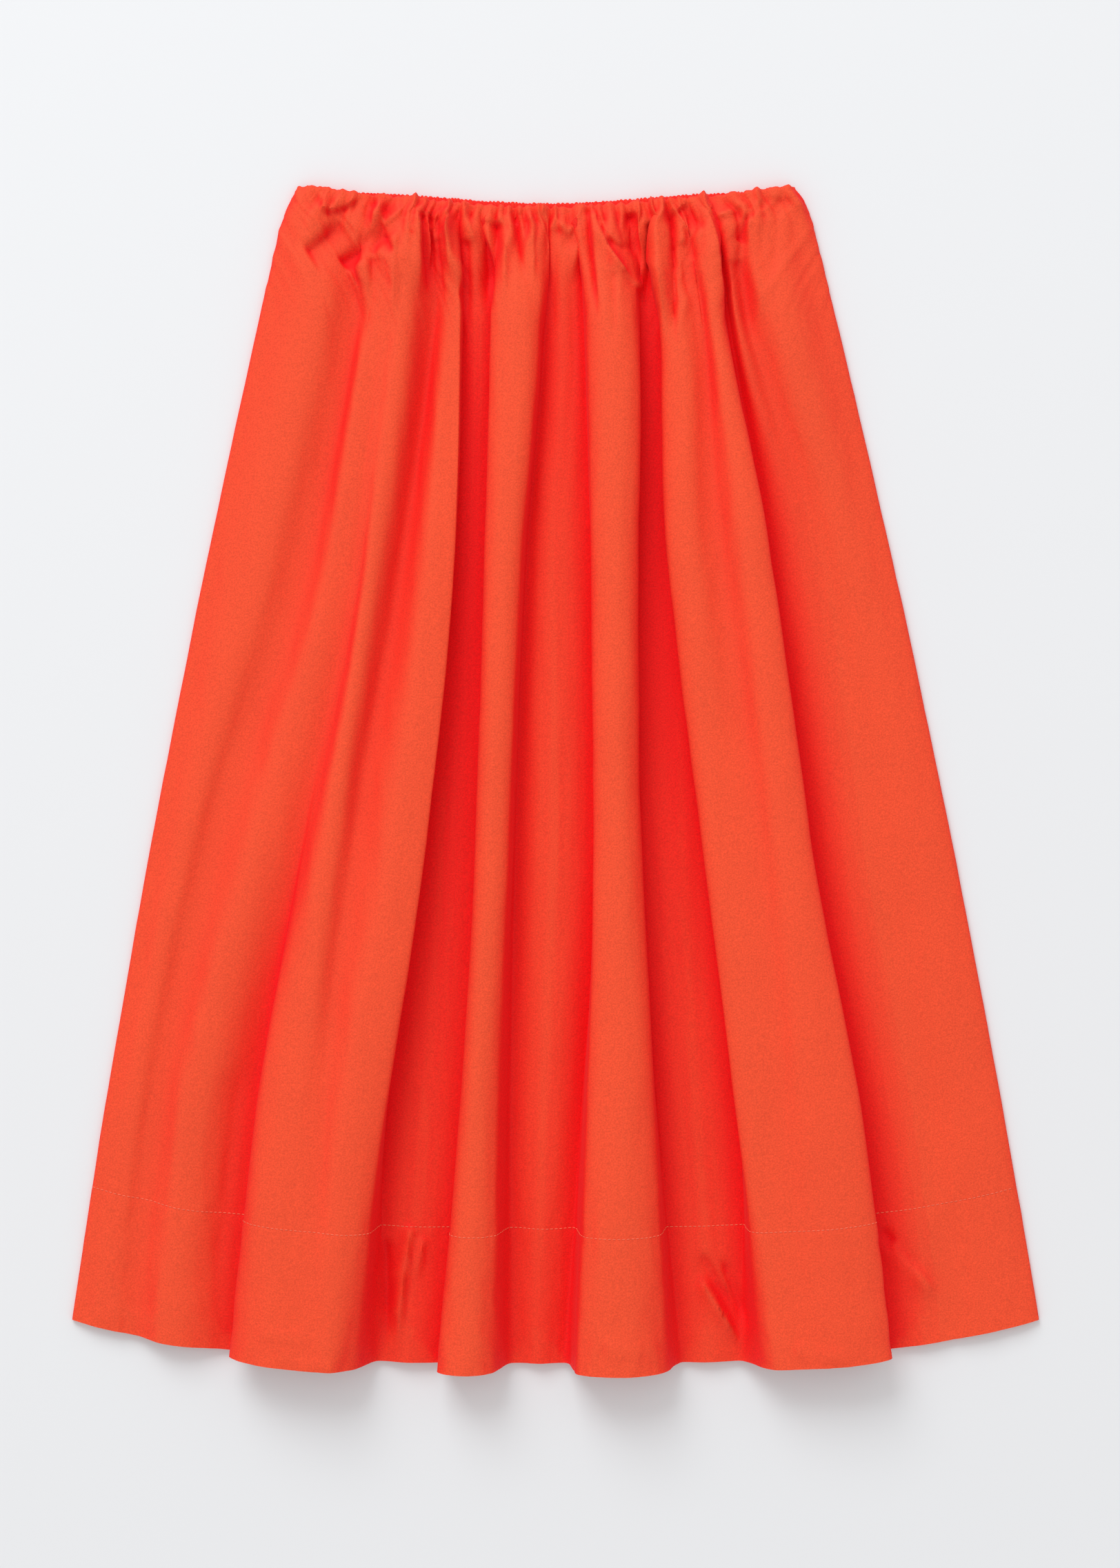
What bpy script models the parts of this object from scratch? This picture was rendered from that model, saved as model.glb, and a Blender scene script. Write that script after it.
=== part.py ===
"""A gathered cotton midi skirt, laid out flat on its back.

The waist points along +Y, the front panel faces +Z, and the back panel rests on z = 0.
Sizes are in millimetres until the points go into a mesh, which is in metres.
A place on the skirt is given by "down", which runs from 0 at the waist edge to 1 at the hem,
and by "share", which runs from 0 at the left side to 1 at the right side.
"""

import bpy
import numpy as np

MM = 0.001

# Outline: half the width is a quadratic in "down", and the waist leans a little to the left
WAIST_HALF = 182.0
SIDE_FLARE = 197.0
SIDE_CURVE = 36.0
WAIST_LEAN = 6.2
CORNER_ROUND = 6.0
WAIST_MIDDLE_Y = 406.2
WAIST_CORNER_RISE = 16.2
HEM_SIDE_Y = -381.2
HEM_MIDDLE_DROP = 30.4
OUTLINE_MIDDLE_Y = 3.27

# Cloth
WALL = 1.2
HEM_WALL = 2.4
SEAM_GAP = 0.3
HEM_DEPTH = 96.0
CENTRE_LENGTH = 818.0
HEM_LINE = 1.0 - HEM_DEPTH / CENTRE_LENGTH
GAP_DOWN = SEAM_GAP / CENTRE_LENGTH
FOLD_REACH = 0.11
FOLD_REACH_FROM = 6.0

# Waist casing: a narrow tunnel of doubled cloth round the elastic
CASING_DEPTH = 8.0
CASING_WALL = 3.0
CASING_END = CASING_DEPTH / CENTRE_LENGTH
CASING_LIFT = 4.2
BACK_CASING_PEEK = 4.0
RUCHE = 1.1
WAIST_HEIGHT = 5.0

# Main folds of the front, from left to right. The columns are the name, how broadly the cloth
# turns there, the place across and the height, in mm at each of the STATIONS down the skirt.
STATIONS = (0.02, 0.10, 0.30, 0.55, 0.80, 1.00)
FOLDS = (
    ("left roll", 1.0, (-181, -196, -233, -272, -308, -332), (8, 8, 7, 6.5, 6, 6)),
    ("left crest", 1.2, (-171, -166, -201, -256, -297, -318), (10, 16, 13, 8, 6.5, 6.5)),
    ("left trough", 1.2, (-156, -148, -179, -238, -280, -297), (8, 10, 8, 6, 5.5, 5.5)),
    ("outer swell", 1.4, (-143, -136, -155, -197, -256, -276), (10, 15, 17, 15, 10, 8.5)),
    ("left foot", 1.0, (-130, -127, -148, -178, -214, -228), (8, 13, 13.5, 12, 5, 4.6)),
    ("left tuck", 1.0, (-127, -124, -145, -175, -208, -220), (9, 13.5, 14, 13, 8, 8)),
    ("left fold edge", 1.0, (-124, -122, -143, -172, -209, -229), (10, 14, 15, 15, 15, 17)),
    ("left fold", 1.5, (-103, -108, -128, -158, -182, -198), (13, 20, 25, 29, 34, 36)),
    ("fold groove", 1.0, (-93, -89, -107, -141, -165, -176), (7, 10, 12, 21, 33, 38)),
    ("left ridge", 1.3, (-81, -77, -86, -111, -146, -162), (10, 18, 25, 31, 38, 39)),
    ("left shoulder", 1.2, (-74, -67, -75, -96, -127, -139), (11, 18, 23, 28, 33, 35)),
    ("left valley", 1.0, (-68, -61, -67, -86, -116, -129), (6, 4.6, 4.6, 4.6, 4.6, 4.6)),
    ("left valley floor", 1.2, (-61, -53, -59, -74, -91, -104), (9, 8, 7, 8, 9, 9)),
    ("ridge foot", 1.0, (-52, -46, -54, -64, -75, -83), (6, 6, 5, 5, 4.6, 4.6)),
    ("ridge shoulder", 1.2, (-45, -38, -48, -59, -70, -77), (11, 18, 22, 25, 29, 32)),
    ("centre ridge", 1.6, (-32, -24, -35, -45, -54, -59), (12, 24, 29, 31, 34, 37)),
    ("centre valley", 1.1, (-5, -7, -20, -28, -31, -28), (6, 5, 6, 6, 5, 4.6)),
    ("shelf", 1.2, (3, 5, 0, -1, -5, -11), (10, 9, 12, 13, 12, 7)),
    ("shelf foot", 1.1, (11, 14, 20, 14, 8, 3), (6, 7, 8, 8, 6, 4.6)),
    ("broad shoulder", 1.2, (19, 27, 29, 25, 21, 17), (11, 18, 24, 28, 31, 33)),
    ("broad ridge", 1.4, (30, 42, 42, 44, 45, 45), (12, 26, 32, 35, 38, 40)),
    ("broad fall", 1.2, (46, 55, 55, 58, 67, 73), (10, 18, 22, 25, 28, 30)),
    ("right valley", 1.0, (59, 65, 64, 69, 85, 93), (6, 4.6, 4.6, 4.6, 4.6, 4.6)),
    ("right valley floor", 1.2, (66, 69, 71, 83, 100, 112), (9, 5.5, 5, 9, 10, 9)),
    ("right valley foot", 1.0, (73, 73, 78, 96, 116, 127), (6, 5, 4.6, 4.6, 4.6, 4.6)),
    ("right ridge", 1.3, (80, 87, 94, 115, 139, 147), (12, 20, 26, 29, 31, 32)),
    ("right groove", 1.2, (93, 102, 113, 140, 158, 166), (8, 15, 21, 29, 32, 33)),
    ("right fold", 1.5, (101, 111, 136, 160, 185, 202), (12, 22, 30, 34, 36, 36)),
    ("right fold edge", 1.0, (108, 118, 149, 180, 214, 234), (10, 15, 19, 19, 17, 16)),
    ("right tuck", 1.0, (110, 120, 148, 178, 211, 228), (8, 8, 8, 8, 8, 8)),
    ("right foot", 1.0, (113, 122, 152, 183, 216, 233), (6, 6, 5, 4.6, 4.6, 4.6)),
    ("outer crest", 1.3, (121, 127, 170, 205, 244, 263), (12, 14, 9, 8, 7.5, 7)),
    ("outer trough", 1.2, (133, 136, 183, 221, 261, 282), (8, 9, 8, 7, 6, 6)),
    ("right crest", 1.3, (147, 158, 202, 247, 286, 308), (11, 16, 11, 8.5, 7.5, 7)),
    ("right roll", 1.0, (164, 182, 222, 266, 303, 328), (8, 8, 7, 6.5, 6, 6)),
)

# Gathers at the waist, from left to right: the place of the crest across, and how far it
# runs down from the casing before it fades, both in mm
GATHERS = (
    (-178, 60), (-166, 45), (-156, 40), (-146, 60), (-136, 35), (-124, 55), (-113, 40),
    (-102, 95), (-96, 60), (-89, 100), (-82, 50), (-76, 35), (-70, 90), (-63, 50), (-56, 40),
    (-48, 55), (-41, 45), (-34, 60), (-27, 45), (-20, 70), (-13, 35), (-7, 90), (0, 45),
    (7, 40), (17, 70), (25, 55), (33, 60), (41, 45), (48, 45), (56, 45), (63, 80), (69, 85),
    (76, 70), (83, 90), (91, 50), (100, 60), (110, 100), (119, 70), (128, 55), (138, 65),
    (147, 45), (158, 60), (169, 50),
)
GATHER_HEIGHT = 2.8
GATHER_STEEPNESS = 0.05

# Low pipes that the back panel keeps under the front's ridges: the place across at the waist
# and at the hem, the height at the hem and half the width, in mm
BACK_PIPES = (
    ("left pipe", -104, -190, 5.0, 15.0),
    ("centre pipe", -26, -57, 4.0, 13.0),
    ("broad pipe", 42, 46, 5.5, 15.0),
    ("right pipe", 108, 186, 4.5, 14.0),
)

# Rows and columns of the cloth
GATHER_ROWS = (0.016, 0.026, 0.042, 0.064, 0.092)
FOLD_ROWS = (0.13, 0.19, 0.26, 0.33, 0.41, 0.49, 0.57, 0.65, 0.73, 0.81)
HEM_ROWS = (0.92, 0.96)
BACK_ROWS = (0.03, 0.06, 0.12, 0.30, 0.55, 0.80)
BACK_COLUMNS = 46
WIDTH_ROWS = (0.08, 0.15, 0.55, 0.9)
COLUMNS_PER_GATHER = 4
SIDE_COLUMNS = 4
SAMPLES_PER_FOLD = 40

CORAL = (0.80, 0.060, 0.028)
CORAL_SHADE = (0.70, 0.040, 0.020)


def smooth_step(value):
    """Rises from 0 to 1 with level ends as the value goes from 0 to 1."""
    part = np.clip(value, 0.0, 1.0)
    return part * part * (3.0 - 2.0 * part)


def half_width(down):
    """Half the skirt's width at a height, rounded in at the waist's corners."""
    flare = WAIST_HALF + SIDE_FLARE * down - SIDE_CURVE * down * down
    return flare - CORNER_ROUND * np.exp(-down / 0.012)


def middle_x(down):
    """Where the skirt's middle lies across: the waist leans to the left of the hem."""
    return -WAIST_LEAN * (1.0 - down)


def height_on_page(share, down):
    """Y of a place: a straight run from the dipped waist edge to the bowed hem."""
    side = np.abs(2.0 * share - 1.0)
    waist = WAIST_MIDDLE_Y + WAIST_CORNER_RISE * side ** 1.6
    hem = HEM_SIDE_Y - HEM_MIDDLE_DROP * (1.0 - side ** 3)
    return waist + (hem - waist) * down - OUTLINE_MIDDLE_Y


def level_slopes(places, values):
    """Slopes of a smooth curve through points that never swings past them.

    The slope is the weighted harmonic mean of the slopes on both sides, and zero at a turn."""
    steps = np.diff(places, axis=0)
    rises = np.diff(values, axis=0) / steps
    before, after = rises[:-1], rises[1:]
    weight_a = 2.0 * steps[1:] + steps[:-1]
    weight_b = steps[1:] + 2.0 * steps[:-1]
    same_way = before * after > 0.0
    safe_before = np.where(same_way, before, 1.0)
    safe_after = np.where(same_way, after, 1.0)
    mean = (weight_a + weight_b) / (weight_a / safe_before + weight_b / safe_after)
    inner = np.where(same_way, mean, 0.0)
    return np.concatenate([rises[:1], inner, rises[-1:]], axis=0)


def curve_between(part, start, end, start_slope, end_slope, step):
    """A cubic from one point to the next with the given slopes at both."""
    square, cube = part ** 2, part ** 3
    return (
        (2 * cube - 3 * square + 1) * start
        + (cube - 2 * square + part) * step * start_slope
        + (3 * square - 2 * cube) * end
        + (cube - square) * step * end_slope
    )


def fold_knots(down):
    """Place across and height of every fold line at one height of the skirt."""
    stations = np.array(STATIONS)
    across = np.array([fold[2] for fold in FOLDS], float).T
    height = np.array([fold[3] for fold in FOLDS], float).T
    shares = (across - middle_x(stations)[:, None]) / half_width(stations)[:, None]
    place = float(np.clip(down, stations[0], stations[-1]))
    row = int(np.clip(np.searchsorted(stations, place) - 1, 0, len(stations) - 2))
    step = stations[row + 1] - stations[row]
    part = (place - stations[row]) / step
    columns = np.repeat(stations[:, None], across.shape[1], axis=1)
    found = []
    for table in (shares, height):
        slopes = level_slopes(columns, table)
        found.append(curve_between(part, table[row], table[row + 1], slopes[row], slopes[row + 1], step))
    settle = smooth_step((down - CASING_END) / 0.035)
    heights = WAIST_HEIGHT + (found[1] - WAIST_HEIGHT) * settle
    return middle_x(down) + half_width(down) * found[0], heights


def front_section(down, wall):
    """The front cloth's middle line at one height: points across and up, densely sampled.

    At each side the cloth turns down outside the back panel to the surface it lies on."""
    across, height = fold_knots(down)
    left = middle_x(down) - half_width(down) + wall / 2
    right = middle_x(down) + half_width(down) - wall / 2
    turn = 1.9 * wall
    across = np.concatenate([[left, left], across, [right, right]])
    height = np.concatenate([[0.1, turn], height, [turn, 0.1]])
    broad = np.concatenate([[1, 1], [fold[1] for fold in FOLDS], [1, 1]])
    steps = np.hypot(np.diff(across), np.diff(height))
    places = np.concatenate([[0.0], np.cumsum(steps)])
    slope_x = level_slopes(places, across) * broad
    slope_z = level_slopes(places, height)
    slope_x[[0, -1]] = 0.0
    part = np.linspace(0.0, 1.0, SAMPLES_PER_FOLD, endpoint=False)[None, :]
    x = curve_between(part, across[:-1, None], across[1:, None], slope_x[:-1, None], slope_x[1:, None], steps[:, None])
    z = curve_between(part, height[:-1, None], height[1:, None], slope_z[:-1, None], slope_z[1:, None], steps[:, None])
    return np.append(x.ravel(), across[-1]), np.append(z.ravel(), height[-1])


def gather_crests():
    """Share across of each gather's crest, and of the dips between and outside them."""
    across = np.array([gather[0] for gather in GATHERS], float)
    crests = (across + WAIST_LEAN) / (2.0 * WAIST_HALF) + 0.5
    dips = np.concatenate([[0.006], (crests[:-1] + crests[1:]) / 2, [0.994]])
    return crests, dips


def gather_rise(share, down):
    """Height that the waist gathers add: a cosine crest between each pair of dips.

    A crest fades over its own reach, and a narrow one is lower than a broad one."""
    crests, dips = gather_crests()
    reach = np.array([gather[1] for gather in GATHERS], float)
    number = np.clip(np.searchsorted(dips, share) - 1, 0, len(crests) - 1)
    low, crest, high = dips[number], crests[number], dips[number + 1]
    side = np.where(share < crest, (share - crest) / (low - crest), (share - crest) / (high - crest))
    shape = 0.5 + 0.5 * np.cos(np.pi * np.clip(side, 0.0, 1.0))
    spacing = (high - low) * 2.0 * WAIST_HALF
    tall = np.minimum(GATHER_HEIGHT, GATHER_STEEPNESS * spacing ** 2)
    below = (down - CASING_END) * CENTRE_LENGTH
    fade = 1.0 - smooth_step(below / reach[number])
    return tall * shape * fade


def fold_columns(count):
    """The mesh column that each fold line gets, shared out by the cloth's own width.

    That width is the mean of sections at a few heights, and no two lines share a column."""
    widths = []
    for down in WIDTH_ROWS:
        x, z = front_section(down, WALL)
        steps = np.hypot(np.diff(x), np.diff(z)).reshape(-1, SAMPLES_PER_FOLD).sum(axis=1)
        widths.append(steps / steps.sum())
    ends = np.concatenate([[0.0], np.cumsum(np.mean(widths, axis=0))])
    columns = np.round(ends * count).astype(int)
    lines = np.arange(len(columns))
    columns = np.maximum.accumulate(columns - lines) + lines
    from_end = np.maximum(count - columns[::-1], 0)
    from_end = np.maximum.accumulate(from_end - lines) + lines
    return count - from_end[::-1]


def column_places(down):
    """Where the mesh columns lie along a section, as a share of its fold lines.

    At the waist they follow the gathers' crests and dips, further down the fold lines."""
    crests, dips = gather_crests()
    turns = np.sort(np.concatenate([crests, dips]))
    across = len(GATHERS) * COLUMNS_PER_GATHER
    wanted = np.interp(np.linspace(0, len(turns) - 1, across + 1), np.arange(len(turns)), turns)
    x, _ = front_section(down, WALL)
    along = np.linspace(0.0, 1.0, len(x))
    share = (x - x[0]) / (x[-1] - x[0])
    by_share = np.interp(wanted, np.maximum.accumulate(share), along)
    segments = len(FOLDS) + 3
    side_wall = np.linspace(0.0, 1.0 / segments, SIDE_COLUMNS, endpoint=False)
    by_gather = np.concatenate([side_wall, by_share, 1.0 - side_wall[::-1]])
    count = len(by_gather) - 1
    knots = np.linspace(0.0, 1.0, segments + 1)
    by_fold = np.interp(np.arange(count + 1), 2 * fold_columns(count // 2), knots)
    blend = smooth_step((down - GATHER_ROWS[0]) / (GATHER_ROWS[-1] - GATHER_ROWS[0]))
    return by_gather + (by_fold - by_gather) * blend


def front_row(down, wall, every=1):
    """One row of the front cloth's points, from the left side seam to the right one."""
    x, z = front_section(down, wall)
    along = np.linspace(0.0, 1.0, len(x))
    places = column_places(down)[::every]
    across = np.interp(places, along, x)
    height = np.interp(places, along, z)
    share = (across - (middle_x(down) - half_width(down))) / (2.0 * half_width(down))
    height = height + gather_rise(share, down)
    reach = FOLD_REACH * np.maximum(height - FOLD_REACH_FROM, 0.0) * smooth_step(down)
    y = height_on_page(share, down) - reach
    return np.stack([across, y, height], axis=1)


def back_row(down, wall, edge):
    """One row of the back cloth's points: flat on the surface, but for its low pipes."""
    half = half_width(down) - edge
    share = np.linspace(0.0, 1.0, BACK_COLUMNS + 1)
    across = middle_x(down) + half * (2.0 * share - 1.0)
    height = np.full(len(share), wall / 2)
    for _, waist_x, hem_x, tall, half_pipe in BACK_PIPES:
        crest = waist_x + (hem_x - waist_x) * down
        away = np.clip(np.abs(across - crest) / half_pipe, 0.0, 1.0)
        height += tall * smooth_step((down - 0.1) / 0.6) * (0.5 + 0.5 * np.cos(np.pi * away))
    fine = gather_rise(np.clip(share, 0.02, 0.98), down + CASING_END)
    height += 0.5 * fine * smooth_step((share - 0.02) / 0.03) * smooth_step((0.98 - share) / 0.03)
    page_share = (across - middle_x(down)) / (2.0 * half_width(down)) + 0.5
    return np.stack([across, height_on_page(page_share, down), height], axis=1)


def make_material(name, colour):
    """A matt cotton with a soft sheen."""
    material = bpy.data.materials.new(name)
    material.use_nodes = True
    shader = material.node_tree.nodes["Principled BSDF"]
    shader.inputs["Base Color"].default_value = (*colour, 1.0)
    shader.inputs["Roughness"].default_value = 0.85
    shader.inputs["Metallic"].default_value = 0.0
    return material


def make_object(name, points, faces, material, collection):
    """An object from points in millimetres and faces, shaded smooth."""
    mesh = bpy.data.meshes.new(name)
    mesh.from_pydata([tuple(point * MM) for point in points], [], faces)
    mesh.materials.append(material)
    mesh.shade_smooth()
    made = bpy.data.objects.new(name, mesh)
    collection.objects.link(made)
    return made


def cloth_sheet(name, rows, wall, material, collection):
    """An open sheet through rows of points, given its wall by Solidify.

    A row with half as many columns as the row above it is joined by three triangles a pair."""
    starts = np.cumsum([0] + [len(row) for row in rows])
    faces = []
    for number in range(len(rows) - 1):
        top, low = starts[number], starts[number + 1]
        columns = len(rows[number + 1]) - 1
        if len(rows[number]) == len(rows[number + 1]):
            for i in range(columns):
                faces.append((top + i, low + i, low + i + 1, top + i + 1))
        else:
            for i in range(columns):
                middle = top + 2 * i + 1
                faces.append((middle - 1, low + i, middle))
                faces.append((middle, low + i, low + i + 1))
                faces.append((middle, low + i + 1, middle + 1))
    sheet = make_object(name, np.concatenate(rows), faces, material, collection)
    thicken = sheet.modifiers.new("Wall", "SOLIDIFY")
    thicken.thickness = wall * MM
    thicken.offset = 0.0
    thicken.use_even_offset = True
    return sheet


def casing(name, half_shrink, peek, low, material, collection):
    """A ruched tunnel along the waist edge: a loft of rounded oblong sections.

    Its underside is level, and its top rises over each gather and dips between them."""
    crests, dips = gather_crests()
    shares = np.sort(np.concatenate([crests, dips]))
    rise = gather_rise(shares, CASING_END)
    rise = RUCHE * rise / rise.max()
    inset = 0.7
    profile = (
        (0.0, inset, 0), (0.0, CASING_WALL - inset, 1), (inset, CASING_WALL, 1),
        (CASING_DEPTH - inset, CASING_WALL, 1), (CASING_DEPTH, CASING_WALL - inset, 1),
        (CASING_DEPTH, inset, 0), (CASING_DEPTH - inset, 0.0, 0), (inset, 0.0, 0),
    )
    half = half_width(0.0) - half_shrink
    middle = 4.0 * shares * (1.0 - shares)
    points = []
    for share, lift, centre in zip(shares, rise, middle):
        x = middle_x(0.0) + half * (2.0 * share - 1.0)
        top = height_on_page(share, 0.0) + peek * smooth_step(1.6 * centre - 0.3) + 0.5 * lift
        for back, up, raised in profile:
            points.append((x, top - back * (1.0 - SEAM_GAP / CASING_DEPTH), low + up + raised * lift))
    sides = len(profile)
    count = len(shares)
    faces = []
    for i in range(count - 1):
        for k in range(sides):
            a, b = i * sides + k, i * sides + (k + 1) % sides
            faces.append((a, b, b + sides, a + sides))
    faces.append(tuple(range(sides - 1, -1, -1)))
    faces.append(tuple(range((count - 1) * sides, count * sides)))
    return make_object(name, np.array(points), faces, material, collection)


def build_front(material, collection):
    """The front panel, from the casing's lower edge to the hem's stitch line."""
    rows = [front_row(CASING_END + GAP_DOWN, WALL)]
    rows += [front_row(down, WALL) for down in GATHER_ROWS]
    rows += [front_row(down, WALL, every=2) for down in FOLD_ROWS]
    rows.append(front_row(HEM_LINE - GAP_DOWN / 2, WALL, every=2))
    return cloth_sheet("front", rows, WALL, material, collection)


def build_front_hem(material, collection):
    """The front's deep hem: the cloth doubled back on itself below the stitch line."""
    downs = (HEM_LINE + GAP_DOWN / 2,) + HEM_ROWS + (1.0,)
    rows = [front_row(down, HEM_WALL, every=2) for down in downs]
    return cloth_sheet("front_hem", rows, HEM_WALL, material, collection)


def build_back(material, collection):
    """The back panel, which carries the whole skirt."""
    downs = (CASING_END + GAP_DOWN,) + BACK_ROWS + (HEM_LINE - GAP_DOWN / 2,)
    rows = [back_row(down, WALL, WALL + SEAM_GAP) for down in downs]
    return cloth_sheet("back", rows, WALL, material, collection)


def build_back_hem(material, collection):
    """The back's hem, doubled like the front's."""
    downs = (HEM_LINE + GAP_DOWN / 2, 0.94, 1.0)
    rows = [back_row(down, HEM_WALL, HEM_WALL + SEAM_GAP) for down in downs]
    return cloth_sheet("back_hem", rows, HEM_WALL, material, collection)


def main():
    for leftover in list(bpy.data.objects):
        bpy.data.objects.remove(leftover)
    collection = bpy.data.collections.new("midi_skirt")
    bpy.context.scene.collection.children.link(collection)
    coral = make_material("coral cotton", CORAL)
    coral_hem = make_material("coral cotton hem", CORAL)
    coral_shade = make_material("coral cotton back", CORAL_SHADE)
    coral_casing = make_material("coral cotton casing", CORAL_SHADE)
    build_front(coral, collection)
    build_front_hem(coral_hem, collection)
    casing("front_waist_casing", 0.6, 0.0, CASING_LIFT, coral_casing, collection)
    build_back(coral_shade, collection)
    build_back_hem(coral_shade, collection)
    casing("back_waist_casing", 3.0, BACK_CASING_PEEK, 0.0, coral_casing, collection)


main()
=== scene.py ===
# %% [markdown]
# A gathered cotton midi skirt, seen from straight above as it lies on its back.
# The real one is a front and a back panel of plain poplin, gathered on an elastic at the waist,
# with a deep hem turned up at the bottom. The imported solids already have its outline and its
# main folds. This file gives it the finer form and the look of the cloth: gathers, creases,
# hem band, stitches and weave. A cloth simulation could drape it, but folds that are placed one
# by one can each be set against this skirt, and are the same each time. Lengths are in
# millimetres until they go into a mesh.

import bpy
import numpy as np
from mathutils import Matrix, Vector


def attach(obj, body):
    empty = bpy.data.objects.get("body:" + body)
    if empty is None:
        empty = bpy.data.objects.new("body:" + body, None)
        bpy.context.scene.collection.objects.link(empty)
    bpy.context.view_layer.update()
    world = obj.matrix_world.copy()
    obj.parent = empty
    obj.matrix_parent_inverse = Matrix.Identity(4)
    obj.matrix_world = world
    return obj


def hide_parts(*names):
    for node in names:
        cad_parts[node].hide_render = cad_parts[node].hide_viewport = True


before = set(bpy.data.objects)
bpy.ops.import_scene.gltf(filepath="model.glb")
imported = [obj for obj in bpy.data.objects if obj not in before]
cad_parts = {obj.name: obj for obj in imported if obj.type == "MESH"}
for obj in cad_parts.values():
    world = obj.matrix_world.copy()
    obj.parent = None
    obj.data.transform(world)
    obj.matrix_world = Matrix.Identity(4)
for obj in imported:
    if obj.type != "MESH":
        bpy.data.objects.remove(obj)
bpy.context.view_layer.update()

MM = 0.001
print("nodes:", sorted(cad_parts))

# %% [markdown]
# The outline comes first, because every other piece hangs on it. A place on the skirt is named
# by two numbers. "Down" runs from 0 at the waist edge to 1 at the hem, and "share" runs from 0
# at the left side to 1 at the right side. The edges could be drawn as curves by hand, but a
# formula gives the width at any height. Half the width is a quadratic in "down", which is how a
# flared panel is cut, and the waist and hem edges are shallow curves.

# %% Outline of the skirt
WAIST_HALF = 182.0
SIDE_FLARE = 197.0
SIDE_CURVE = 36.0
WAIST_LEAN = 6.2
# The waist's corners are rounded in by so many mm, over this share of the length
CORNER_ROUND = 6.0
CORNER_REACH = 0.012
WAIST_MIDDLE_Y = 406.2
WAIST_CORNER_RISE = 16.2
WAIST_POWER = 1.6
HEM_SIDE_Y = -381.2
HEM_MIDDLE_DROP = 30.4
HEM_POWER = 3
OUTLINE_MIDDLE_Y = 3.27
CENTRE_LENGTH = 818.0
HEM_DEPTH = 96.0
HEM_LINE = 1.0 - HEM_DEPTH / CENTRE_LENGTH
CASING_DEPTH = 8.0
CASING_END = CASING_DEPTH / CENTRE_LENGTH


def smooth_step(value):
    """Rises from 0 to 1 with level ends as the value goes from 0 to 1."""
    part = np.clip(value, 0.0, 1.0)
    return part * part * (3.0 - 2.0 * part)


def half_width(down):
    """Waist half plus the flare, less a little curve, and rounded in at the waist's corners."""
    flare = WAIST_HALF + SIDE_FLARE * down - SIDE_CURVE * down * down
    return flare - CORNER_ROUND * np.exp(-down / CORNER_REACH)


def middle_x(down):
    """The waist leans to the left of the hem, in proportion to the height."""
    return -WAIST_LEAN * (1.0 - down)


def page_y(share, down):
    """Y of a place: a straight run from the dipped waist edge to the bowed hem."""
    side = np.abs(2.0 * share - 1.0)
    waist = WAIST_MIDDLE_Y + WAIST_CORNER_RISE * side ** WAIST_POWER
    hem = HEM_SIDE_Y - HEM_MIDDLE_DROP * (1.0 - side ** HEM_POWER)
    return waist + (hem - waist) * down - OUTLINE_MIDDLE_Y


print("waist", round(2 * half_width(0.0)), "mm, hem", round(2 * half_width(1.0)), "mm wide")

# %% [markdown]
# The main folds run from the waist to the hem. Each one is a line with a place across and a
# height at six stations down the skirt. They follow the lines of the solids, and ten are the
# same. The others lie up to 15 millimetres to the side, or up to 12 higher or lower, to come
# closer to the real skirt, and two are in this file alone. The folds could be sculpted too, but
# numbers can be set one by one against the real skirt. A smooth curve joins the stations, and a
# second one joins the lines across. Letting the curve swing wide at a line makes a broad, round
# ridge or an edge that laps over its valley.

# %% Main fold lines
STATIONS = np.array([0.02, 0.10, 0.30, 0.55, 0.80, 1.00])
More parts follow.
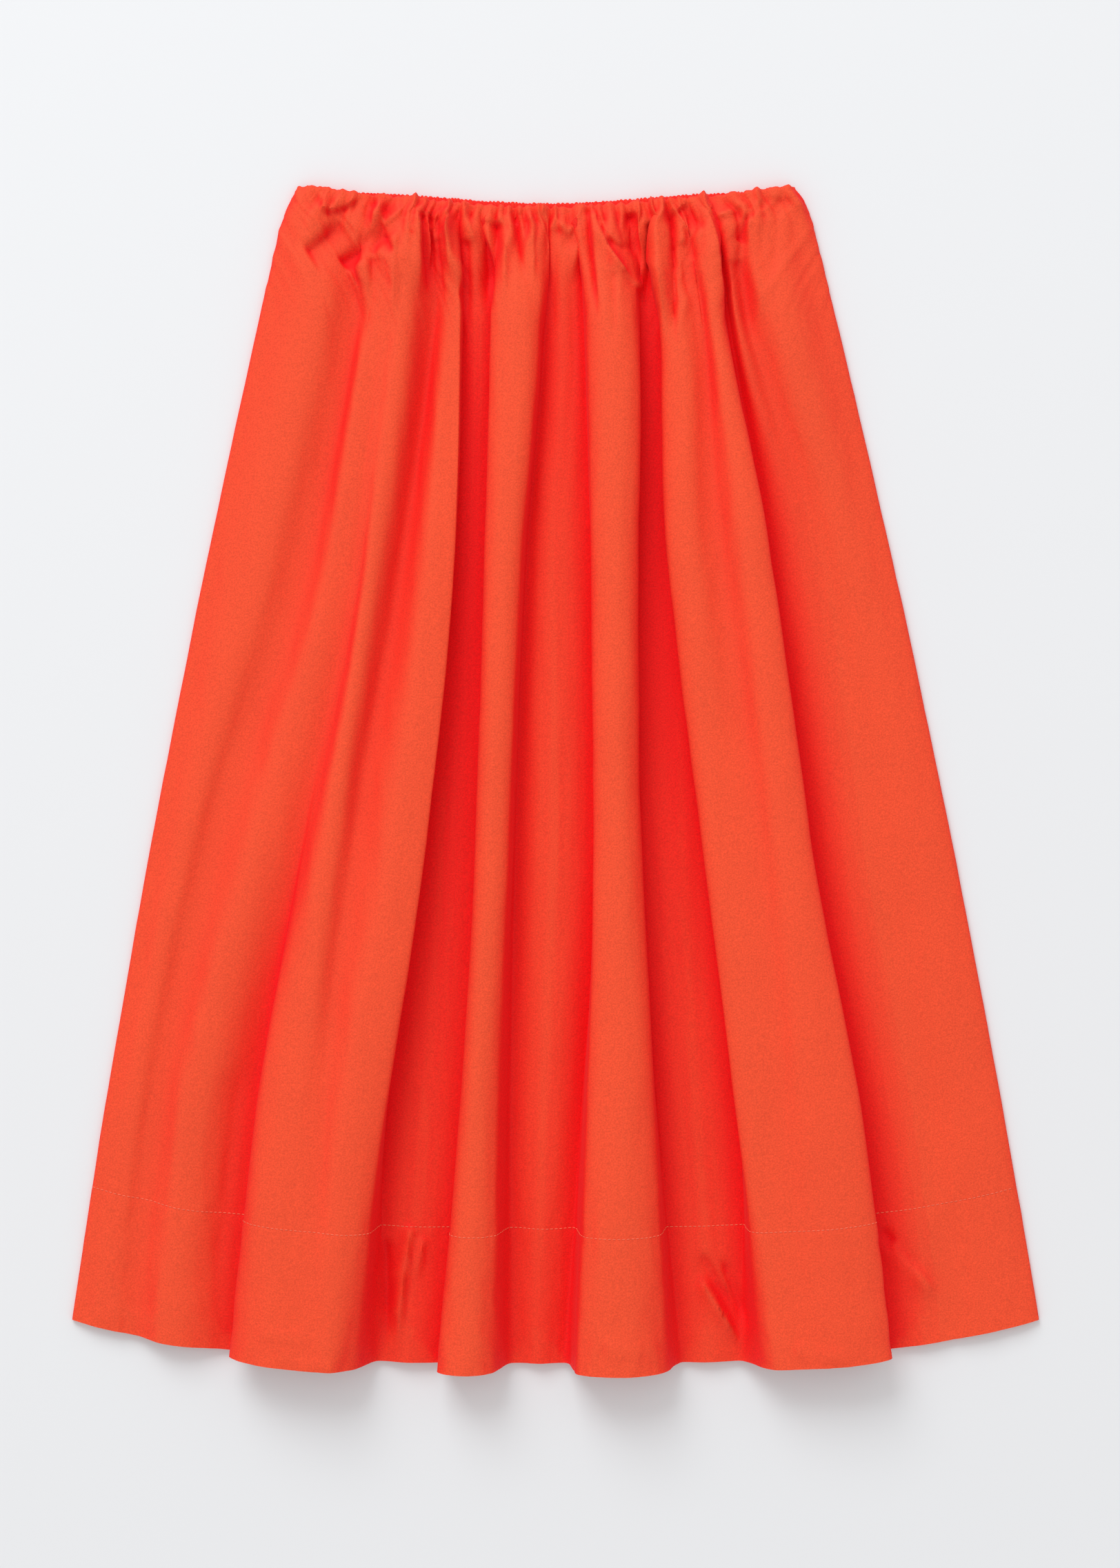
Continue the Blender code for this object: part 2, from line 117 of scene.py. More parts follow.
# Name, how broadly the cloth turns there, place across and height at the stations
FOLDS = (
    ("left roll", 1.0, (-181, -196, -233, -272, -308, -332), (8, 8, 7, 6.5, 6, 6)),
    ("left crest", 1.2, (-171, -166, -201, -256, -297, -318), (10, 16, 14, 11, 8.5, 7.5)),
    ("left trough", 1.5, (-152, -141, -174, -240, -284, -299), (8, 9, 8.5, 7.5, 6, 5.5)),
    ("outer swell", 1.4, (-141, -130, -152, -203, -256, -276), (10, 17, 19, 17, 15, 14)),
    ("left foot", 1.0, (-130, -122, -141, -180, -214, -228), (9, 17, 19, 14, 5, 4.6)),
    ("left tuck", 1.0, (-127, -119, -138, -177, -208, -220), (9.5, 17.5, 20, 14.5, 8, 8)),
    ("left fold edge", 1.0, (-125, -116, -135, -174, -211, -229), (10, 18, 21, 18, 22, 19)),
    ("left fold", 1.5, (-103, -108, -128, -158, -182, -198), (13, 20, 25, 29, 34, 36)),
    ("fold groove", 1.0, (-86, -86, -107, -141, -165, -176), (7, 6, 12, 21, 33, 38)),
    ("left ridge", 1.3, (-77, -75, -86, -111, -146, -162), (9, 14, 25, 31, 38, 39)),
    ("left shoulder", 1.0, (-72, -68, -71, -91, -122, -145), (10, 16, 23, 28, 31, 31)),
    ("left valley", 1.0, (-68, -65, -72, -94, -121, -122), (6, 4.6, 4.6, 4.6, 4.6, 4.6)),
    ("left valley floor", 1.2, (-61, -53, -59, -74, -91, -104), (9, 7, 6, 6, 7, 8)),
    ("ridge foot", 1.0, (-50, -43, -46, -52, -64, -80), (6, 5, 4.6, 4.6, 4.6, 4.6)),
    ("ridge shoulder", 1.0, (-47, -45, -49, -56, -68, -83), (11, 17, 21, 24, 27, 27)),
    ("centre ridge", 1.4, (-32, -24, -35, -45, -57, -62), (12, 24, 29, 31, 34, 37)),
    ("centre fall", 1.0, (-14, -13, -25, -34, -43, -46), (10, 19, 25, 27, 29, 30)),
    ("centre valley", 1.1, (-5, -7, -20, -28, -31, -28), (6, 5, 6, 6, 5, 4.6)),
    ("shelf", 1.2, (3, 5, 0, -1, -5, -11), (10, 9, 12, 13, 12, 7)),
    ("shelf foot", 1.1, (16, 20, 26, 29, 17, 6), (6, 7, 8, 8, 6, 4.6)),
    ("broad shoulder", 1.0, (19, 22, 25, 27, 22, 17), (11, 18, 24, 28, 31, 33)),
    ("broad ridge", 1.4, (30, 42, 42, 44, 45, 45), (12, 26, 32, 35, 38, 40)),
    ("broad fall", 1.0, (51, 57, 58, 60, 70, 75), (10, 18, 22, 25, 28, 30)),
    ("right valley", 1.0, (59, 60, 55, 57, 73, 91), (6, 4.6, 4.6, 4.6, 4.6, 4.6)),
    ("right valley floor", 1.2, (66, 67, 68, 81, 102, 110), (9, 5.5, 5, 5.5, 6, 7)),
    ("right valley foot", 1.0, (73, 76, 82, 106, 131, 129), (6, 5, 4.6, 4.6, 4.6, 4.6)),
    ("right shoulder", 1.0, (76, 75, 79, 103, 129, 148), (10, 15, 20, 24, 27, 26)),
    ("right ridge", 1.3, (80, 87, 94, 115, 139, 157), (12, 20, 26, 29, 31, 32)),
    ("right groove", 1.2, (93, 102, 113, 140, 158, 171), (8, 15, 21, 29, 32, 33)),
    ("right fold", 1.5, (101, 111, 136, 160, 185, 202), (12, 22, 30, 34, 36, 36)),
    ("right fold edge", 1.0, (108, 118, 149, 178, 215, 236), (10, 17, 25, 28, 29, 27)),
    ("right tuck", 1.0, (110, 119, 147, 175, 211, 231), (8, 8, 8, 8, 8, 8)),
    ("right foot", 1.0, (113, 122, 149, 178, 214, 234), (6, 6, 5, 4.6, 4.6, 4.6)),
    ("outer crest", 1.3, (121, 127, 170, 205, 244, 263), (12, 14, 9, 8, 7.5, 7)),
    ("outer trough", 1.2, (133, 136, 183, 221, 261, 282), (8, 9, 8, 7, 6, 6)),
    ("right crest", 1.3, (147, 158, 202, 247, 286, 308), (11, 16, 11, 8.5, 7.5, 7)),
    ("right roll", 1.0, (164, 182, 222, 266, 303, 328), (8, 8, 7, 6.5, 6, 6)),
)
# The folds settle to this height at the waist, over this share of the length
WAIST_HEIGHT = 5.0
SETTLE_DOWN = 0.030
# Half the thickness of the solids' wall
CLOTH_HALF = 0.6
# How far the hem's high folds reach outward, as a share of their height above a low one
FOLD_REACH = 0.11
FOLD_REACH_FROM = 6.0
# Heights of the two lines at each side, where the cloth turns down
SIDE_LOW = 0.1
SIDE_TURN = 3.8


def level_slopes(places, values):
    """Slopes down the first axis of a smooth curve that never swings past its points:
    the weighted harmonic mean of the slopes on both sides, and zero at a turn."""
    steps = np.diff(places, axis=0)
    rises = np.diff(values, axis=0) / steps
    before, after = rises[:-1], rises[1:]
    weight_a = 2.0 * steps[1:] + steps[:-1]
    weight_b = steps[1:] + 2.0 * steps[:-1]
    same_way = before * after > 0.0
    safe_before = np.where(same_way, before, 1.0)
    safe_after = np.where(same_way, after, 1.0)
    mean = (weight_a + weight_b) / (weight_a / safe_before + weight_b / safe_after)
    return np.concatenate([rises[:1], np.where(same_way, mean, 0.0), rises[-1:]], axis=0)


def curve_between(part, start, end, start_slope, end_slope, step):
    """Hermite cubic: it leaves one point and reaches the next with the given slopes."""
    square, cube = part ** 2, part ** 3
    return (
        (2 * cube - 3 * square + 1) * start
        + (cube - 2 * square + part) * step * start_slope
        + (3 * square - 2 * cube) * end
        + (cube - square) * step * end_slope
    )


def fold_lines(down):
    """Place across and height of every fold line, one row for each value of "down".

    The lines are joined through the stations as shares of the half width, and they settle to
    one low height in the last few centimetres below the waist."""
    across = np.array([fold[2] for fold in FOLDS], float).T
    height = np.array([fold[3] for fold in FOLDS], float).T
    shares = (across - middle_x(STATIONS)[:, None]) / half_width(STATIONS)[:, None]
    place = np.clip(down, STATIONS[0], STATIONS[-1])
    row = np.clip(np.searchsorted(STATIONS, place) - 1, 0, len(STATIONS) - 2)
    step = (STATIONS[row + 1] - STATIONS[row])[:, None]
    part = (place[:, None] - STATIONS[row][:, None]) / step
    stations = np.repeat(STATIONS[:, None], len(FOLDS), axis=1)
    found = []
    for table in (shares, height):
        slope = level_slopes(stations, table)
        found.append(curve_between(part, table[row], table[row + 1], slope[row], slope[row + 1], step))
    settle = smooth_step(down / SETTLE_DOWN)[:, None]
    lines_x = middle_x(down)[:, None] + half_width(down)[:, None] * found[0]
    return lines_x, WAIST_HEIGHT + (found[1] - WAIST_HEIGHT) * settle


def section_points(down):
    """The fold lines with two more at each side, where the cloth turns down to the table."""
    across, height = fold_lines(down)
    left = (middle_x(down) - half_width(down) + CLOTH_HALF)[:, None]
    right = (middle_x(down) + half_width(down) - CLOTH_HALF)[:, None]
    low = np.full_like(left, SIDE_LOW)
    turn = np.full_like(left, SIDE_TURN * CLOTH_HALF)
    return np.hstack([left, left, across, right, right]), np.hstack([low, turn, height, turn, low])


lines_x, lines_z = fold_lines(np.array([0.1, 0.5, 1.0]))
print(len(FOLDS), "fold lines, up to", np.round(lines_z.max(axis=1), 1), "mm high")

# %% [markdown]
# A grid of points turns those curves into cloth. Every column keeps the same place between two
# fold lines all the way down, so the mesh follows the folds and their edges stay crisp. The
# rows are close together among the gathers and further apart below, where the folds are long.

# %% Columns and rows of the cloth
COLUMNS = 561
# Distance between rows in each zone, and how far the close rows reach, in mm
ROW_STEP_TOP = 1.9
ROW_STEP_BODY = 12.0
ROW_STEP_STITCH = 2.0
ROW_STEP_HEM = 4.5
TOP_ZONE = 92.0
STITCH_ZONE = 10.0
# Heights at which the segments are measured: the waist counts twice
MEASURED_DOWNS = np.array([0.02, 0.02, 0.08, 0.15, 0.35, 0.6, 0.9])


def spread_columns(count):
    """The segment between fold lines, and the part along it, for each column.

    Columns are shared out by the mean width of each segment over a few heights."""
    x, z = section_points(MEASURED_DOWNS)
    widths = np.hypot(np.diff(x), np.diff(z))
    shares = (widths / widths.sum(axis=1, keepdims=True)).mean(axis=0)
    ends = np.concatenate([[0.0], np.cumsum(shares)])
    wanted = np.linspace(0.0, ends[-1], count)
    segment = np.clip(np.searchsorted(ends, wanted, side="right") - 1, 0, len(shares) - 1)
    return segment, (wanted - ends[segment]) / shares[segment]


def fold_surface(down, segment, part):
    """The cloth's middle surface: for each row a Hermite curve through the fold lines."""
    across, height = section_points(down)
    broad = np.array([1, 1] + [fold[1] for fold in FOLDS] + [1, 1], float)
    steps = np.hypot(np.diff(across), np.diff(height))
    places = np.cumsum(np.hstack([np.zeros((len(down), 1)), steps]), axis=1)
    slope_x = level_slopes(places.T, across.T).T * broad
    slope_x[:, [0, -1]] = 0.0
    slope_z = level_slopes(places.T, height.T).T
    following = segment + 1
    step = steps[:, segment]
    x = curve_between(part, across[:, segment], across[:, following],
                      slope_x[:, segment], slope_x[:, following], step)
    z = curve_between(part, height[:, segment], height[:, following],
                      slope_z[:, segment], slope_z[:, following], step)
    return x, z


def share_of(x, down):
    """How far across the skirt a point is, from 0 at the left side to 1 at the right."""
    return (x - (middle_x(down) - half_width(down))[:, None]) / (2.0 * half_width(down))[:, None]


def rows_between(start, end, step):
    """Values of "down" from one height to another, in even steps of about so many mm."""
    count = max(int(round((end - start) * CENTRE_LENGTH / step)), 1)
    return np.linspace(start, end, count + 1)


def front_rows():
    """Values of "down" for the front's rows. They are closer at the waist and at the hem's
    stitch line, and the number of the row on the stitch line is returned with them."""
    marks = np.array([0.0, TOP_ZONE, HEM_LINE * CENTRE_LENGTH - STITCH_ZONE]) / CENTRE_LENGTH
    parts = [
        rows_between(marks[0], marks[1], ROW_STEP_TOP)[:-1],
        rows_between(marks[1], marks[2], ROW_STEP_BODY)[:-1],
        rows_between(marks[2], HEM_LINE, ROW_STEP_STITCH),
        rows_between(HEM_LINE, HEM_LINE + STITCH_ZONE / CENTRE_LENGTH, ROW_STEP_STITCH)[1:],
        rows_between(HEM_LINE + STITCH_ZONE / CENTRE_LENGTH, 1.0, ROW_STEP_HEM)[1:],
    ]
    return np.concatenate(parts), sum(len(part) for part in parts[:3]) - 1


SEGMENT, PART = spread_columns(COLUMNS)
FRONT_DOWN, HEM_ROW = front_rows()
print("front grid:", len(FRONT_DOWN), "rows of", COLUMNS, "columns")

# %% [markdown]
# Gathers form where more cloth is sewn to the elastic than fits, so each one is a small round
# crest between two pinched dips. Their places were read off the real skirt, one by one, and
# each fades over its own length. An even wave would be less work, but it looks like a printed
# pattern. Far smaller puckers lie between them in the first centimetre.

# %% Gathers at the waist
# Place of each crest across, and how far it runs down before it fades
GATHERS = (
    (-178, 60), (-166, 45), (-156, 40), (-146, 60), (-136, 35), (-124, 55), (-113, 40),
    (-102, 95), (-96, 60), (-89, 100), (-82, 50), (-76, 35), (-70, 90), (-63, 50), (-56, 40),
    (-48, 55), (-41, 45), (-34, 60), (-27, 45), (-20, 70), (-13, 35), (-7, 90), (0, 45),
    (7, 40), (17, 70), (25, 55), (33, 60), (41, 45), (48, 45), (56, 45), (63, 80), (69, 85),
    (76, 70), (83, 90), (91, 50), (100, 60), (110, 100), (119, 70), (128, 55), (138, 65),
    (147, 45), (158, 60), (169, 50),
)
# A gather is as high as its width squared allows, up to a limit
GATHER_HEIGHT = 4.6
GATHER_STEEPNESS = 0.12
GATHER_SHARPNESS = 1.5
GATHER_RISE_LENGTH = 9.0
GATHER_UNEVEN = (0.35, 1.15)
GATHER_SWAY = 0.016
# Near both corners the gathers are lower, down to this share of their height
CORNER_SHARE = 0.16
CORNER_GATHER = 0.35
# Where a dip may lie between two crests
DIP_BETWEEN = (0.25, 0.75)
# Least and greatest spacing, height and reach of the wide pleats and of the small puckers
PLEAT_SPACING = (13.0, 26.0)
PLEAT_HEIGHT = (1.5, 5.0)
PLEAT_REACH = (55.0, 150.0)
PUCKER_HEIGHT = 0.35
PUCKER_SPACING = (2.2, 4.4)
PUCKER_REACH = (5.0, 15.0)
# Dips that close the gathers off at both side seams
SIDE_DIPS = (0.004, 0.996)
SWAY_CELLS = (34.0, 30.0)
SWAY_SEED = 5
GATHER_SEED = 7
GATHER_REACH_SHARE = 0.7
HELD_LOW = 0.5
MOST_PLEATS = 160
PLEAT_MARGIN = 2.0
PLEAT_START = 0.1
NOISE_CELLS = 256


def cloth_noise(u, v, cell_u, cell_v, seed):
    """Smooth noise of about -0.7 to 0.7: random slopes at the corners of cells of the cloth,
    blended from corner to corner by a curve with level ends."""
    angle = np.random.default_rng(seed).uniform(0.0, 2.0 * np.pi, (NOISE_CELLS, NOISE_CELLS))
    a, b = u / cell_u + NOISE_CELLS / 2, v / cell_v + NOISE_CELLS / 2
    i, j = np.floor(a).astype(int), np.floor(b).astype(int)
    part_a, part_b = a - i, b - j
    fade_a, fade_b = (p ** 3 * (6 * p * p - 15 * p + 10) for p in (part_a, part_b))
    corners = []
    for right in (0, 1):
        for down in (0, 1):
            way = angle[(i + right) % NOISE_CELLS, (j + down) % NOISE_CELLS]
            corners.append(np.cos(way) * (part_a - right) + np.sin(way) * (part_b - down))
    left = corners[0] + (corners[1] - corners[0]) * fade_b
    right = corners[2] + (corners[3] - corners[2]) * fade_b
    return left + (right - left) * fade_a


def crest_rise(share, below, crests, reach, tall, draw):
    """Round crests between pinched dips: one less the distance from the crest to a power,
    times each crest's height, fading to nothing over its reach below the waist. The dips lie
    nearer to one crest or the other, as a seeded draw has it."""
    part = draw.uniform(*DIP_BETWEEN, len(crests) - 1)
    between = crests[:-1] + part * np.diff(crests)
    dips = np.concatenate([SIDE_DIPS[:1], between, SIDE_DIPS[1:]])
    number = np.clip(np.searchsorted(dips, share) - 1, 0, len(crests) - 1)
    crest, low, high = crests[number], dips[number], dips[number + 1]
    side = np.where(share < crest, (crest - share) / (crest - low), (share - crest) / (high - crest))
    shape = 1.0 - np.clip(side, 0.0, 1.0) ** GATHER_SHARPNESS
    return tall[number] * shape * (1.0 - smooth_step(below / reach[number]))


def gather_rise(share, below):
    """The gathers, which sway to the side on their way down and are held low at the elastic,
    the wider pleats that they run together into, and small puckers right next to it."""
    table = np.array(GATHERS, float)
    crests = (table[:, 0] + WAIST_LEAN) / (2.0 * WAIST_HALF) + 0.5
    spacing = np.gradient(table[:, 0])
    draw = np.random.default_rng(GATHER_SEED)
    tall = np.minimum(GATHER_HEIGHT, GATHER_STEEPNESS * spacing ** 2)
    corner = np.minimum(crests, 1.0 - crests) / CORNER_SHARE
    tall = tall * draw.uniform(*GATHER_UNEVEN, len(tall))
    tall = tall * (CORNER_GATHER + (1.0 - CORNER_GATHER) * smooth_step(corner))
    width = 2.0 * WAIST_HALF
    swayed = share + GATHER_SWAY * cloth_noise(share * width, below, *SWAY_CELLS, SWAY_SEED)
    swayed = np.clip(swayed, 0.0, 1.0)
    held = HELD_LOW + (1.0 - HELD_LOW) * smooth_step(below / GATHER_RISE_LENGTH)
    reach = GATHER_REACH_SHARE * table[:, 1]
    rise = held * crest_rise(swayed, below, crests, reach, tall, draw)
    for spacings, reaches, heights, start in (
        (PLEAT_SPACING, PLEAT_REACH, PLEAT_HEIGHT, GATHER_RISE_LENGTH * 2.0),
        (PUCKER_SPACING, PUCKER_REACH, (0.4 * PUCKER_HEIGHT, PUCKER_HEIGHT), 0.1),
    ):
        places = np.cumsum(draw.uniform(*spacings, MOST_PLEATS))
        places = places[places < width - 2.0 * PLEAT_MARGIN] + PLEAT_MARGIN
        count = len(places)
        reach, high = draw.uniform(*reaches, count), draw.uniform(*heights, count)
        more = crest_rise(swayed, below, places / width, reach, high, draw)
        rise = rise + more * smooth_step(below / start + PLEAT_START)
    return rise


print(len(GATHERS), "gathers")

# %% [markdown]
# Creases are what makes cloth look like cloth. The ones at the waist are given one by one, each
# as a short bent stroke with its own width, height and lean: a positive height is a ridge, a
# negative one a trough, and the lean makes one side of it steeper. The finest unevenness is
# left to a seeded noise that is stretched along the folds, as real wrinkles are.

# %% Creases and wrinkles
# Name, start, bend and end on the page, width, height, and lean to the left of its way
WAIST_CREASES = (
    ("corner lobe", (-169, 425), (-167, 417), (-164, 409), 3.0, 2.0, 0),
    ("hook", (-167, 406), (-153, 400), (-133, 419), 4.6, 3.8, -0.6),
    ("hook shade", (-163, 403), (-149, 404), (-136, 412), 4.0, -2.2, 0),
    ("first wedge", (-177, 374), (-160, 384), (-147, 402), 8.0, -4.8, 0.5),
    ("second wedge", (-152, 366), (-137, 377), (-119, 398), 8.0, -5.4, 0.5),
    ("wedge puff", (-148, 359), (-129, 366), (-106, 390), 11.0, 4.0, 0.5),
    ("notch", (-131, 419), (-130, 411), (-125, 403), 3.2, -3.2, 0.4),
    ("lobe left side", (-126, 420), (-125, 406), (-121, 393), 3.2, 2.8, 0.4),
    ("lobe right side", (-122, 393), (-112, 395), (-103, 412), 3.2, 2.8, -0.5),
    ("dash", (-120, 386), (-117, 378), (-112, 371), 2.4, -2.4, 0.3),
    ("first pleat", (-99, 415), (-99, 384), (-98, 338), 6.5, 5.0, 0.5),
    ("first slot", (-95, 402), (-94, 377), (-90, 345), 2.6, -4.0, 0),
    ("spur", (-94, 409), (-92, 384), (-88, 352), 3.0, 3.2, 0.4),
    ("upper swag", (-93, 412), (-85, 383), (-75, 414), 2.6, 2.2, -0.5),
    ("lower swag", (-91, 396), (-83, 373), (-74, 393), 2.4, 1.6, -0.5),
    ("thin pleat", (-76, 415), (-75, 398), (-73, 381), 2.2, 3.4, 0),
    ("swag line", (-82, 408), (-81, 380), (-78, 330), 2.0, -1.8, 0),
    ("run line", (-112, 388), (-112, 360), (-114, 318), 3.0, 1.8, 0.3),
    ("soft hollow", (-128, 372), (-131, 340), (-137, 300), 7.0, -2.6, 0.2),
    ("overlap", (-77, 407), (-74, 378), (-66, 344), 3.6, 4.6, 0.6),
    ("overlap shade", (-62, 384), (-61, 358), (-62, 318), 3.6, -2.4, 0),
    ("small vee", (-67, 414), (-61, 396), (-57, 374), 3.0, 3.2, 0.4),
    ("dark run", (-40, 396), (-45, 372), (-50, 326), 6.0, -5.0, 0.3),
    ("pleat line", (-29, 411), (-26, 391), (-22, 350), 2.0, -3.6, 0.3),
    ("loop left", (-30, 409), (-26, 396), (-22, 410), 1.8, 1.6, 0),
    ("loop right", (-14, 409), (-10, 396), (-7, 411), 1.8, 1.6, 0),
    ("ridge line", (-36, 404), (-34, 372), (-36, 330), 2.2, 2.2, 0.4),
    ("fine line", (-18, 404), (-16, 380), (-17, 344), 1.8, 1.6, 0.3),
    ("second pleat", (-9, 415), (-9, 367), (-10, 310), 4.4, 3.2, 0.2),
    ("second slot", (2, 407), (1, 367), (-2, 312), 3.4, -1.4, 0),
    ("hanging lobe", (-1, 407), (8, 368), (15, 409), 2.8, 2.6, -0.5),
    ("lobe shade", (2, 392), (6, 372), (13, 388), 5.0, -1.8, 0),
    ("broad pleat", (21, 411), (12, 384), (10, 350), 5.5, 4.2, -0.3),
    ("broad line", (40, 360), (42, 330), (41, 300), 2.6, -1.6, 0.3),
    ("sharp slot", (23, 409), (25, 372), (30, 322), 2.2, -4.6, 0.3),
    ("swag edge", (27, 405), (36, 367), (57, 352), 3.2, 5.0, 0.6),
    ("inner swag", (29, 409), (38, 366), (57, 385), 2.8, 2.6, -0.5),
    ("swag pocket", (37, 382), (46, 376), (55, 382), 4.0, -2.0, 0),
    ("deep pocket", (53, 403), (55, 383), (57, 366), 3.6, -5.0, 0),
    ("hook end", (56, 348), (65, 358), (63, 372), 4.0, 2.6, -0.4),
    ("hook pocket", (47, 360), (52, 353), (57, 350), 4.0, -1.0, 0),
    ("third pleat", (57, 415), (62, 400), (63, 366), 2.8, 4.4, 0.3),
    ("third slot", (67, 396), (66, 367), (63, 330), 2.8, -4.8, 0),
    ("fourth pleat", (67, 413), (70, 384), (74, 330), 3.2, 4.6, -0.3),
    ("fifth pleat", (76, 415), (78, 372), (77, 306), 3.0, 5.4, 0.5),
    ("fifth slot", (82, 405), (84, 358), (83, 300), 2.6, -4.4, 0),
    ("triangle", (79, 414), (88, 390), (101, 383), 3.0, 3.0, -0.5),
    ("triangle shade", (89, 407), (99, 395), (107, 389), 6.0, -4.0, 0.3),
    ("soft run", (86, 381), (92, 358), (95, 334), 4.0, -2.6, 0),
    ("run beside it", (98, 372), (101, 340), (106, 300), 3.2, 1.8, 0.4),
    ("right edge", (105, 418), (107, 384), (120, 322), 4.6, 5.0, 0.6),
    ("right lobe", (108, 411), (118, 387), (136, 415), 3.2, 1.8, -0.5),
    ("right dash", (129, 381), (134, 392), (139, 409), 3.0, -3.0, 0.3),
    ("side pleat", (142, 423), (144, 408), (146, 382), 3.4, 3.0, 0.4),
    ("side dip", (157, 415), (157, 384), (151, 350), 6.5, -2.4, 0),
    ("side hollow", (128, 370), (134, 340), (140, 300), 6.0, -2.0, 0.3),
    ("side rise", (139, 400), (142, 366), (150, 318), 5.0, 1.8, 0.3),
    ("corner flap", (161, 426), (169, 412), (179, 402), 4.0, 2.6, 0.6),
)
# The same for the hem
HEM_CREASES = (
    ("crumpled edge", (-100, -312), (-108, -352), (-111, -405), 4.0, 4.4, 0.6),
    ("crumpled run", (-121, -322), (-119, -362), (-121, -404), 3.6, -3.4, -0.4),
    ("crumple bar", (-128, -352), (-116, -348), (-103, -343), 5.0, 1.2, 0.4),
    ("low crumple bar", (-127, -382), (-116, -374), (-105, -376), 4.5, 1.2, -0.4),
    ("short tuck", (-92, -322), (-97, -338), (-98, -354), 2.8, 2.6, 0.4),
    ("first diagonal", (104, -335), (117, -358), (132, -378), 4.0, -3.6, 0.5),
    ("second diagonal", (104, -352), (118, -376), (133, -402), 3.6, 5.2, 0.5),
    ("third diagonal", (118, -340), (128, -364), (138, -394), 3.6, -3.4, -0.3),
    ("long diagonal", (238, -325), (254, -345), (274, -368), 5.0, 4.0, 0.4),
    ("upper diagonal", (230, -316), (246, -332), (262, -350), 4.2, -3.2, 0.3),
    ("left ripple", (-196, -398), (-176, -405), (-150, -408), 3.0, 1.4, 0.5),
    ("left low ripple", (-208, -383), (-190, -388), (-170, -387), 4.0, 1.3, 0.4),
    ("broad ripple", (34, -393), (52, -397), (74, -394), 3.4, 1.3, 0.4),
    ("right ripple", (166, -396), (186, -402), (214, -398), 3.0, 1.5, 0.4),
    ("outer ripple", (-318, -372), (-298, -378), (-272, -383), 4.2, 0.8, 0.3),
    ("shaded run", (-222, -200), (-236, -300), (-244, -390), 9.0, -2.0, 0.4),
)
CREASE_SAMPLES = 20
CREASE_STRENGTH = 1.15
CREASE_ROUNDNESS = 1.5
# Share of a stroke's length over which it rises and fades, and its reach in widths
CREASE_RISE = 0.08
CREASE_FADE = 0.4
CREASE_REACH = 3.0


def bent_stroke(start, bend, end):
    """Points of a quadratic curve: it leaves the start towards the bend and ends at the end."""
    part = np.linspace(0.0, 1.0, CREASE_SAMPLES)[:, None]
    start, bend, end = (np.array(point, float) for point in (start, bend, end))
    return (1 - part) ** 2 * start + 2 * part * (1 - part) * bend + part ** 2 * end


def along_and_beside(points, path):
    """For each point, how far along the path its nearest place is, from 0 to 1, and its
    distance from it, positive on the left of the path's way."""
    start, step = path[:-1], np.diff(path, axis=0)
    towards = points[:, None, :] - start[None]
    part = np.clip((towards * step).sum(axis=2) / (step * step).sum(axis=1), 0.0, 1.0)
    gap = towards - part[:, :, None] * step
    away = np.hypot(gap[:, :, 0], gap[:, :, 1])
    nearest = away.argmin(axis=1)
    line = np.arange(len(points))
    turn = step[:, 0] * towards[:, :, 1] - step[:, 1] * towards[:, :, 0]
    side = np.sign(turn[line, nearest])
    return (nearest + part[line, nearest]) / len(step), side * away[line, nearest]


def crease_rise(x, y, creases):
    """The sum of all strokes: a bell across each one, tapered at both ends. A lean narrows the
    bell on the left of its way, so that it is an edge there, and widens it on the right."""
    rise = np.zeros(x.shape)
    for _, start, bend, end, width, height, lean in creases:
        path = bent_stroke(start, bend, end) - (0.0, OUTLINE_MIDDLE_Y)
        low = path.min(axis=0) - CREASE_REACH * width
        high = path.max(axis=0) + CREASE_REACH * width
        near = (x > low[0]) & (x < high[0]) & (y > low[1]) & (y < high[1])
        along, beside = along_and_beside(np.stack([x[near], y[near]], axis=1), path)
        taper = smooth_step(along / CREASE_RISE) * smooth_step((1.0 - along) / CREASE_FADE)
        reach = width * (1.0 - lean * np.sign(beside))
        bell = np.exp(-np.abs(beside / reach) ** CREASE_ROUNDNESS)
        rise[near] += CREASE_STRENGTH * height * taper * bell
    return rise


print(len(WAIST_CREASES), "creases at the waist,", len(HEM_CREASES), "at the hem")

# %% [markdown]
# The front's cloth carries all of these layers at once. A displace modifier could stack them,
# but here they are summed as numbers and added along the cloth's own normal, so a gather on the
# flank of a fold leans with it. At the waist the cloth first rolls round the elastic: a few
# extra rows on an arc, so that the gathers run over the edge instead of being cut off.

# %% The front's surface
# The roll of the cloth round the elastic
ROLL_RADIUS = 1.1
ROLL_LIFT = 2.0
ROLL_LIFT_REACH = 13.0
ROLL_SHARE = 0.45
ROLL_FADE = 0.2
# The first two rows share one angle, and the first of them is then tucked under the edge
ROLL_ANGLES = np.radians([-90.0, -90.0, -60.0, -30.0, 0.0, 25.0, 50.0, 72.0])
ROLL_TUCK = 2.5
# Share of the normal's lean along the skirt that the finer layers follow
UPRIGHT = 0.25
# How much a gather pushes the waist edge outward
EDGE_PUSH = 0.25
EDGE_PUSH_REACH = 5.0
# Step on to the doubled cloth, and depth of the groove that the stitches pull
HEM_BAND_STEP = 0.12
STITCH_GROOVE = 0.1
# The rows near the waist start lower down, to leave room for the roll
ROLL_INSET = 2.4
ROLL_INSET_REACH = 18.0
# Below this height the finer layers fade, because the cloth turns in at the side seams
FLAT_HEIGHT = 4.0
# Cell across the cloth, cell down it, height and seed of each layer of soft swells
SWELLS = ((26.0, 150.0, 0.8, 11), (11.0, 55.0, 0.5, 12), (5.0, 16.0, 0.2, 13))
